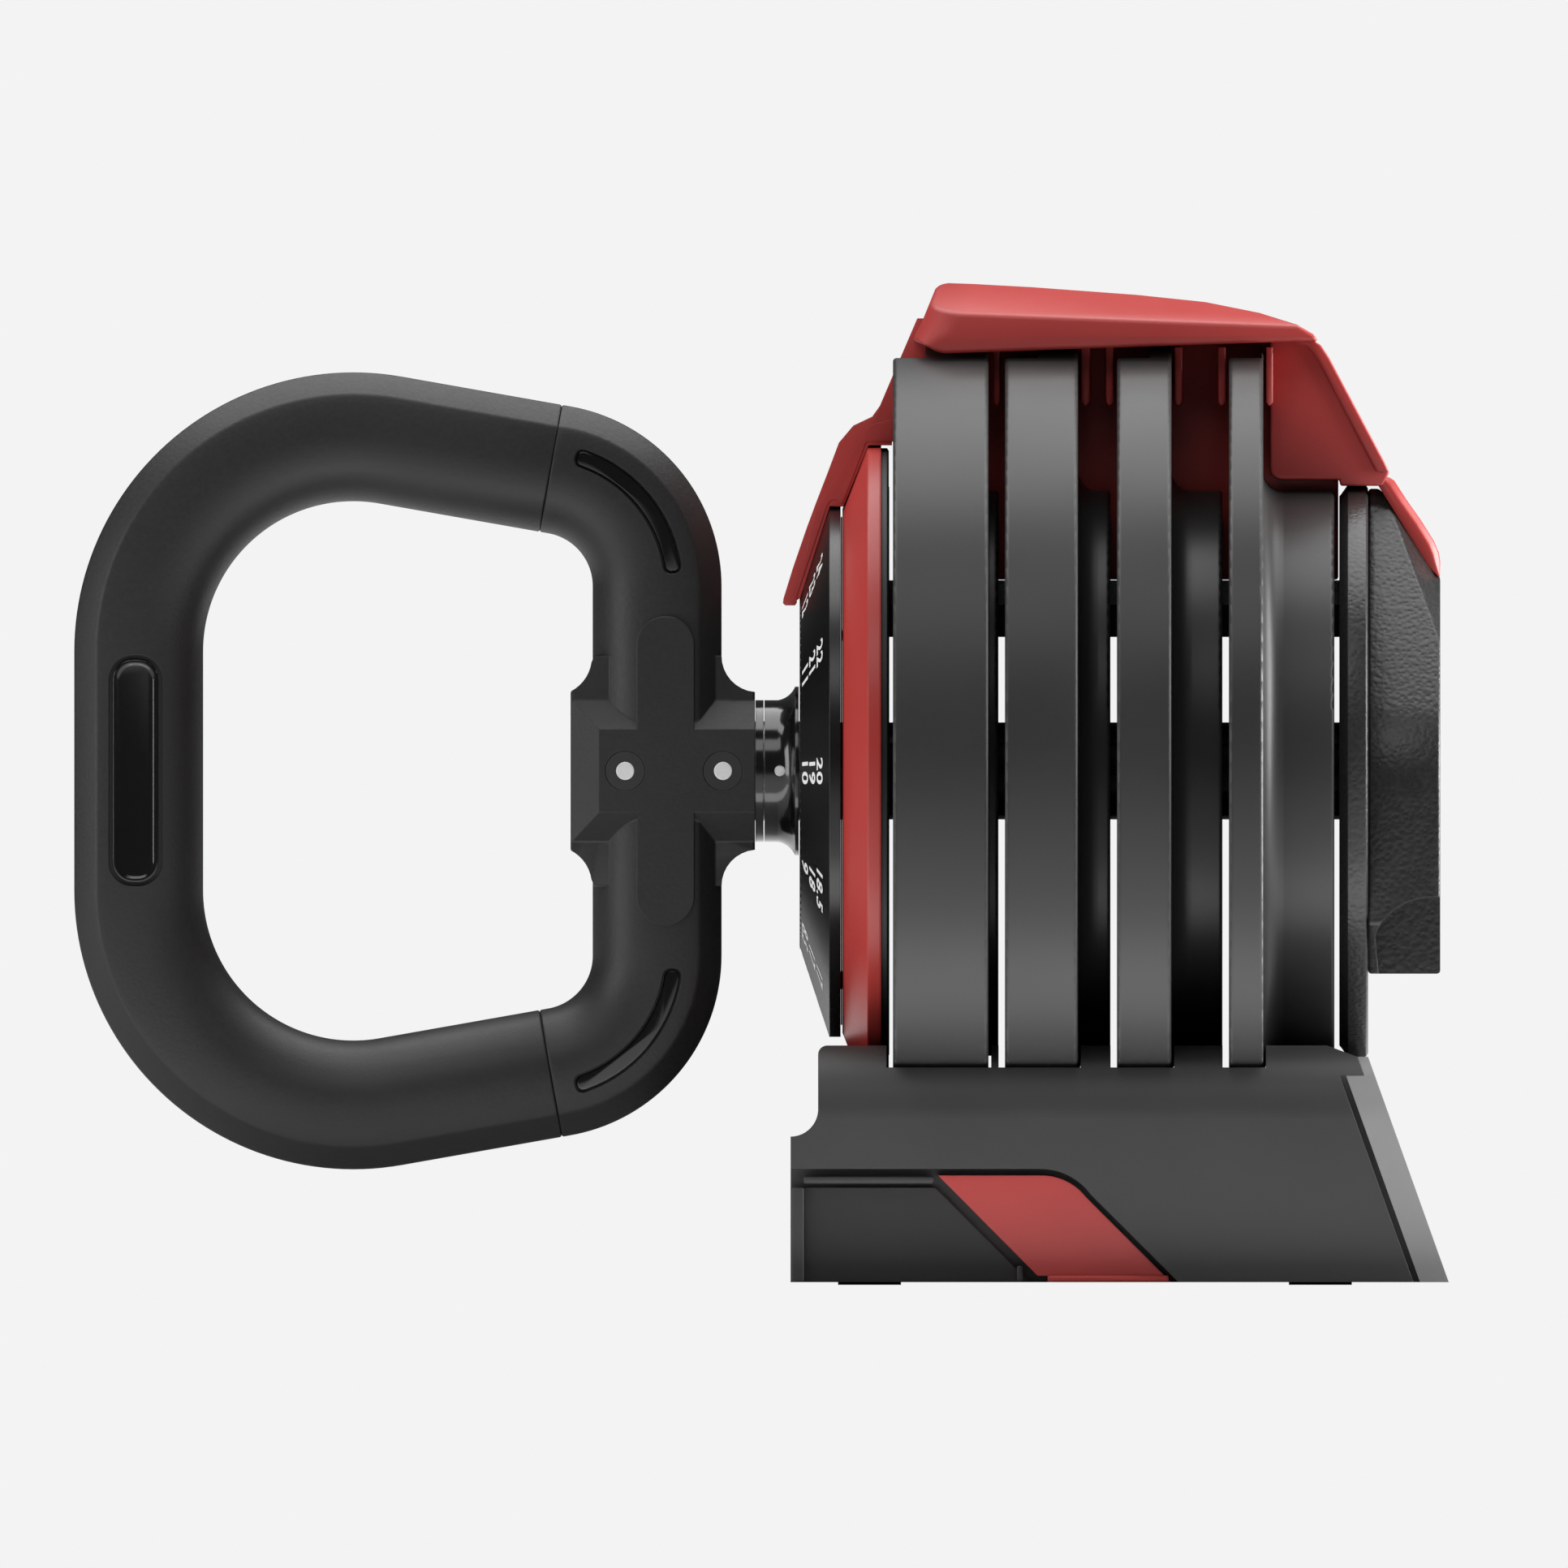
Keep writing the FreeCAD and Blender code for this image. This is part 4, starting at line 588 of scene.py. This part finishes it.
yoke = join("yoke_sleeve", [yoke, boss, throat])
settle(yoke, "head", "grip_black", "grip_yoke", smooth=30)

# %% Gloss inlays in the yoke
for upward, node in ((1, "yoke_inlays_upper"), (-1, "yoke_inlays_lower")):
    strips = []
    for side in (1, -1):
        strip = corner_strip("strip", (28.2, 31.6), (6.2, 73.8), 20, upward, side, (12.6, 13.5), 1.45)
        round_edges(strip, 0.35, 3, 40)
        strips.append(strip)
    settle(join(node.replace("inlays", "strips"), strips), "head", "gloss_black", node)

# %% [markdown]
# ## The red hood
# The hood is one moulding: a broad roof that falls to both sides, blunt at the handle end and
# thin at the tail. It is drawn in side view, given its width, and cut by a sloping plane on
# each side. The corners at the handle end get a generous radius and the rest a small one, as
# a mould needs. Its hollow is a round one, because the plates' rims turn under it.
# %% Hood
hood_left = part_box("spine_hood")[0].x / MM
hood_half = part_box("spine_hood")[1].y / MM
hood = slab("hood_shell", [
    (hood_left + 0.3, 95.6), *arc((hood_left + 8.5, 100.2), 7.7, 235, 262, 5), (119.0, 95.3), (123.6, 95.3),
    (122.4, 96.9), (118.8, 99.0), (110.5, 101.6), (98.5, 104.0), (83.2, 105.6), (60.0, 107.3),
    (47.2, 108.0), (41.5, 108.2), (39.6, 107.9), (38.6, 106.9), (35.8, 100.0),
], -hood_half, hood_half)
for side in (1, -1):
    pick(hood, "FACE", lambda middle, normal: True)
    normal = Vector((0.035, 0.313 * side, 0.949))
    bpy.ops.mesh.bisect(
        plane_co=beside(47, 101.4, hood_half * side), plane_no=normal, clear_outer=True, use_fill=True,
    )
    tidy(hood)
pick(hood, "EDGE", lambda middle, along: (
    middle.x < 41 and middle.z > 96 and abs(middle.y) > hood_half - 0.1 and abs(along.z) > 0.6
))
bpy.ops.mesh.bevel(offset=8.5 * MM, segments=8, affect="EDGES")
bpy.ops.object.mode_set(mode="OBJECT")
tidy(hood)
round_edges(hood, 1.1, 3, 24)
rim_clearance = turned("hood_hollow", [(28.0, 60.0), (28.0, 95.7), (123.0, 95.7), (123.0, 60.0)])
take_away(hood, rim_clearance)
settle(hood, "head", "red_plastic", "spine_hood")

# %% [markdown]
# ## The web under the hood
# A thin web joins the hood to the rail. At the tail it widens into a block with a raised
# border along its sloping edge. Pairs of ribs beside each plate steady the hood.
# %% Web and ribs
web = slab("web_plate", [
    (33.2, 42.4), (128.0, 42.4), (128.0, 66.0), (123.0, 95.6), (33.2, 97.0),
], -5, 5)
round_edges(web, 0.6, 2)
tail = slab("web_tail", [
    (112.9, 67.0), *arc((115.4, 67.1), 2.5, 180, 270, 4)[1:], (128.2, 64.6), (128.4, 63.2),
    (137.9, 63.2), (139.3, 66.2), (138.2, 68.6), (126.0, 91.6), (124.0, 94.6), (122.0, 95.6),
    (112.9, 95.6),
], -15.2, 15.2)
border = slab("tail_border", [
    (136.4, 66.3), (139.3, 66.3), (138.2, 68.6), (126.0, 91.6), (124.0, 94.6), (122.0, 95.6),
    (117.5, 95.6), (121.2, 94.2), (123.4, 91.2),
], -16, 16)
round_edges(tail, 0.5, 3)
round_edges(border, 0.5, 3)
ribs = []
RIBS = ((51.6, 52.9), (71.0, 72.9), (76.4, 78.1), (91.7, 93.4), (101.3, 103.0), (112.0, 113.4))
for left, right in RIBS:
    rib = slab("rib", [
        (left, 94), (left, 81.8), (left + 0.6, 81), (right - 0.6, 81), (right, 81.8), (right, 94),
    ], -20, 20)
    round_edges(rib, 0.3, 2)
    ribs.append(rib)
web = join("spine_web_moulding", [web, tail, border, *ribs])
settle(web, "head", "red_plastic", "spine_web")

# %% [markdown]
# ## The pointer arm
# The arm reaches down over the dial and shows the chosen weight through an opening. Thin
# skirts on both sides close the gap between the arm, the dial and the front plate.
# %% Arm and window
arm_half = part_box("pointer_arm")[1].y / MM
arm = slab("arm_moulding", [
    (5.3, 36.7), (7.5, 36.7), (7.9, 37.3), (7.9, 38.9), (14.6, 58.9), *arc((16.3, 58.6), 1.6, 170, 20, 6),
    (18.5, 60.4), (23.3, 73.0), (37.0, 73.0), (37.0, 100.4), (34.6, 100.4), (28.6, 86.4),
    (26.3, 81.0), (24.6, 78.6),
    (20.4, 76.6), (17.2, 72.8), (14.8, 66.4), (12.1, 59.4), (10.1, 54.0), (7.0, 45.0), (4.9, 38.2), (4.8, 37.2),
], -arm_half, arm_half)
round_edges(arm, 0.9, 3, 32)
opening = slab("arm_opening", [(2, 40.5), (16, 40.5), (16, 56.5), (2, 56.5)], -6.5, 6.5)
pick(opening, "EDGE", lambda middle, along: abs(along.x) > 0.9)
bpy.ops.mesh.bevel(offset=2 * MM, segments=5, affect="EDGES")
bpy.ops.object.mode_set(mode="OBJECT")
take_away(arm, opening)
skirts = [
    slab("skirt", [
        (7.6, 37.6), (8.7, 38.4), (15.2, 58.7), (18.2, 58.6), (23.8, 72.2), (29.0, 72.2),
        (29.0, 78.0), (24.0, 76.5), (12.1, 58.0),
    ], 9.9 * side, 10.7 * side)
    for side in (1, -1)
]
arm = join("arm_moulding", [arm, *skirts])
settle(arm, "head", "red_plastic", "pointer_arm")

# %% [markdown]
# ## Dark rings beside the front plate
# Two thin dark rings fill gaps that show dark: one between the dial and the red front plate,
# one between that plate and the first weight. Both are turned from small profiles.
# %% Dark rings
inner_dark_ring = turned("inner_dark_ring", [
    (17.63, 20.0), (17.97, 20.0), (17.97, 56.2), (17.8, 56.5), (17.63, 56.2),
])
settle(inner_dark_ring, "head", "dark_plastic")
outer_dark_ring = turned("outer_dark_ring", [
    (26.6, 60.0), (28.3, 60.0), (28.3, 71.0), (27.9, 71.6), (26.6, 71.6),
])
settle(outer_dark_ring, "head", "dark_plastic")

# %% [markdown]
# ## The tail strap, the end flange and the end cap
# The strap carries the red line down over the black cap. The flange is a turned disc. The
# cap's round shoulders come from its outline seen from the end, and three planes cut its top.
# %% Strap
strap = slab("strap_moulding", [
    (136.4, 64.0), (147.9, 45.2), (150.5, 42.8), (150.6, 46.4), (150.3, 48.4), (149.2, 51.0), (146.4, 55.5),
    (143.1, 60.2), (140.4, 64.4), (139.2, 65.2), (137.6, 65.0),
], -15, 15)
pick(strap, "EDGE", lambda middle, along: (
    abs(middle.y) > 14.9 and middle.x > 138 and along.x * along.z < 0
    and middle.z > 43 + (150.6 - middle.x) * 1.55
))
bpy.ops.mesh.bevel(offset=1.4 * MM, segments=1, affect="EDGES")
bpy.ops.object.mode_set(mode="OBJECT")
tidy(strap)
round_edges(strap, 0.35, 2)
settle(strap, "head", "red_plastic", "tail_strap")

# %% Flange
low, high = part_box("end_flange")
flange_radius = high.y / MM
flange = turned("flange_disc", [
    (low.x / MM, 14.0), (132.8, 14.0), (132.8, 4.7), (high.x / MM, 4.7),
    (high.x / MM, flange_radius - 0.9),
    (high.x / MM - 0.4, flange_radius - 0.2), (high.x / MM - 1.0, flange_radius),
    (low.x / MM + 1.9, flange_radius), (low.x / MM + 1.2, flange_radius - 1.0),
    (low.x / MM + 0.5, flange_radius - 2.0), (low.x / MM, flange_radius - 2.6),
])
settle(flange, "head", "grained_black", "end_flange")

# %% End cap
low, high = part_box("end_cap")
half, bottom, roof = high.y / MM, -45.0, math.radians(37)
shoulder = (19 + 35 * math.cos(roof), -6 + 35 * math.sin(roof))
top = shoulder[0] - (62.6 - shoulder[1]) * math.tan(roof)
right_side = [(half - 11, bottom), (half, bottom + 11), *arc((half - 35, -6), 35, 0, 37, 8), (top, 62.6)]
end_view = [*right_side, *[(-y, rise) for y, rise in reversed(right_side)]]
cap = draw("cap_moulding", [beside(low.x / MM, rise, y) for y, rise in end_view])
bpy.ops.mesh.extrude_region_move(TRANSFORM_OT_translate={"value": (high.x - low.x, 0, 0)})
tidy(cap)
CUTS = [((137.2, 62.6, 0.0), (0.827, 0.0, 0.562))]
for side in (1, -1):
    CUTS.append(((137.2, 62.6, 14.0 * side), (0.80, 0.30 * side, 0.52)))
for (x, rise, y), normal in CUTS:
    pick(cap, "FACE", lambda middle, normal: True)
    bpy.ops.mesh.bisect(plane_co=beside(x, rise, y), plane_no=normal, clear_outer=True, use_fill=True)
    tidy(cap)
round_edges(cap, 0.7, 3, 20)
hollow = slab("cap_hollow", [(133, -34), (147.1, -34), (147.1, 26), (133, 26)], -26, 26)
scoops = []
for side in (1, -1):
    scoops.append(slab(
        "scoop", [(137.0, -47), (152, -47), (152, -28), *arc((148.6, -41.6), 13.6, 90, 157, 10)],
        *sorted((side * (half - 12), side * (half + 2))),
    ))
take_away(cap, hollow, *scoops)
settle(cap, "head", "grained_black", "end_cap")

# %% [markdown]
# ## Numbers and knurling on the dial
# The dial shows three rows of numbers, printed white on a cone. A text object is made once
# for each digit and turned into a mesh. Every number is then set digit by digit round the
# cone, so that it lies on the surface: its top points to the rim, and it reads clockwise.
# The front edge carries fine teeth for the fingers. One tooth is modelled and copied round.
# %% Printing ink
ink = bpy.data.materials.new("white_pad_print")
ink.use_nodes = True
tree = ink.node_tree
bsdf = tree.nodes["Principled BSDF"]
place = add_node(tree, "TexCoord")
speckle = add_node(tree, "TexNoise", {"Vector": place.outputs["Object"], "Scale": 2500.0})
tone = add_node(tree, "ValToRGB", {"Fac": speckle.outputs[0]})
tone.color_ramp.elements[0].color, tone.color_ramp.elements[1].color = shade("#e4e4e2"), shade("#f6f6f5")
tree.links.new(tone.outputs[0], bsdf.inputs["Base Color"])
bsdf.inputs["Roughness"].default_value = 0.5

# %% Digits
CAP_HEIGHT = 4.3
INK_LIFT = 0.00004
ADVANCE = 3.15
digits = {}
for letter in "0123456789.":
    bpy.ops.object.select_all(action="DESELECT")
    bpy.ops.object.text_add(location=(0, 0, 0))
    text = bpy.context.object
    text.data.body = letter
    text.data.align_x = "CENTER"
    text.data.size = CAP_HEIGHT * MM / 0.747
    text.data.offset = 0.00014
    text.data.resolution_u = 4
    bpy.ops.object.convert(target="MESH")
    digits[letter] = bpy.context.object
print("digit height", round(digits["0"].dimensions.y * 1000, 2), "mm")

# %% Rows of numbers
dial_low, dial_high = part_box("dial")
front_x, front_r = dial_low.x / MM, 38.8
SLOPE = Vector((6.6, 20.2)).normalized()
SETTINGS = [
    ("10", "19", "20"), ("9", "18", "18.5"), ("8.5", "17", "17"), ("7.5", "15", "16"),
    ("6.5", "13", "14"), ("5.5", "11", "12"), ("4.5", "9", "10"), ("3.5", "7", "8"),
    ("2.5", "5", "6"), ("13", "25", "26"), ("12", "23", "24"), ("11", "21", "22"),
]
ROWS = (4.2, 9.3, 14.6)
printed = []
for step, values in enumerate(SETTINGS):
    for value, along in zip(values, ROWS):
        radius = front_r + SLOPE.y * along
        widths = [ADVANCE * (0.55 if letter == "." else 1.0) for letter in value]
        cursor = -sum(widths) / 2
        for letter, width in zip(value, widths):
            angle = math.radians(30 * step) + (cursor + width / 2) / radius
            cursor += width
            outward = Vector((0, -math.cos(angle), -math.sin(angle)))
            reading = Vector((0, math.sin(angle), -math.cos(angle)))
            up = Vector((SLOPE.x, 0, 0)) + outward * SLOPE.y
            facing = reading.cross(up)
            place = Vector((front_x * MM, 0, axis_height)) + outward * front_r * MM
            place += up * (along - CAP_HEIGHT / 2) * MM + facing * INK_LIFT
            frame_of_digit = Matrix((reading, up, facing)).transposed().to_4x4()
            copy = digits[letter].copy()
            copy.data = digits[letter].data.copy()
            bpy.context.collection.objects.link(copy)
            copy.data.transform(Matrix.Translation(place) @ frame_of_digit)
            printed.append(copy)
for original in digits.values():
    bpy.data.objects.remove(original)
numerals = join("dial_numerals", printed)
settle(numerals, "selector", "dial_black", finish=ink)

# %% Knurled edge
bpy.ops.object.select_all(action="DESELECT")
bpy.ops.mesh.primitive_cube_add(
    size=1, location=beside(front_x + 0.85, front_r + 0.1), scale=(1.6 * MM, 0.95 * MM, 1.1 * MM),
)
tooth = bpy.context.object
bpy.ops.object.transform_apply()
pick(tooth, "EDGE", lambda middle, along: abs(along.x) > 0.9 and middle.z > front_r)
bpy.ops.mesh.bevel(offset=0.3 * MM, segments=2, affect="EDGES")
bpy.ops.object.mode_set(mode="OBJECT")
TEETH = 112
about_axis = Matrix.Translation((0, 0, axis_height))
teeth = [tooth]
for index in range(1, TEETH):
    copy = tooth.copy()
    copy.data = tooth.data.copy()
    bpy.context.collection.objects.link(copy)
    turn = Matrix.Rotation(2 * math.pi * index / TEETH, 4, "X")
    copy.data.transform(about_axis @ turn @ about_axis.inverted())
    teeth.append(copy)
knurl = join("dial_knurl", teeth)
settle(knurl, "selector", "dial_black")

# %% [markdown]
# ## Trim in the tray's side recesses
# Each recess is stiffened by an upright post at the handle end, a ledge under its top edge and
# a small post beside the red accent. A thin red lip closes the accent at the bottom.
# %% Posts, ledge and lip
TRIM = {
    "recess_bars": ("tray_black", [
        (6.7, 9.5, 0.8, 21.6, 69.5, 74.4), (9.4, 38.2, 22.4, 24.1, 69.5, 73.6),
        (56.7, 58.1, 0.8, 4.3, 69.5, 72.6),
    ]),
    "accent_lips": ("red_painted", [(63.6, 90.4, 0.8, 2.1, 72.5, 74.2)]),
}
floor_rise = axis_height / MM
for name, (slot, sizes) in TRIM.items():
    bars = []
    for left, right, low, high, near, far in sizes:
        low, high = low - floor_rise, high - floor_rise
        for side in (1, -1):
            corners = [(left, low), (right, low), (right, high), (left, high)]
            bar = slab("bar", corners, *sorted((near * side, far * side)))
            round_edges(bar, 0.45, 3)
            bars.append(bar)
    settle(join(name, bars), "tray", slot)
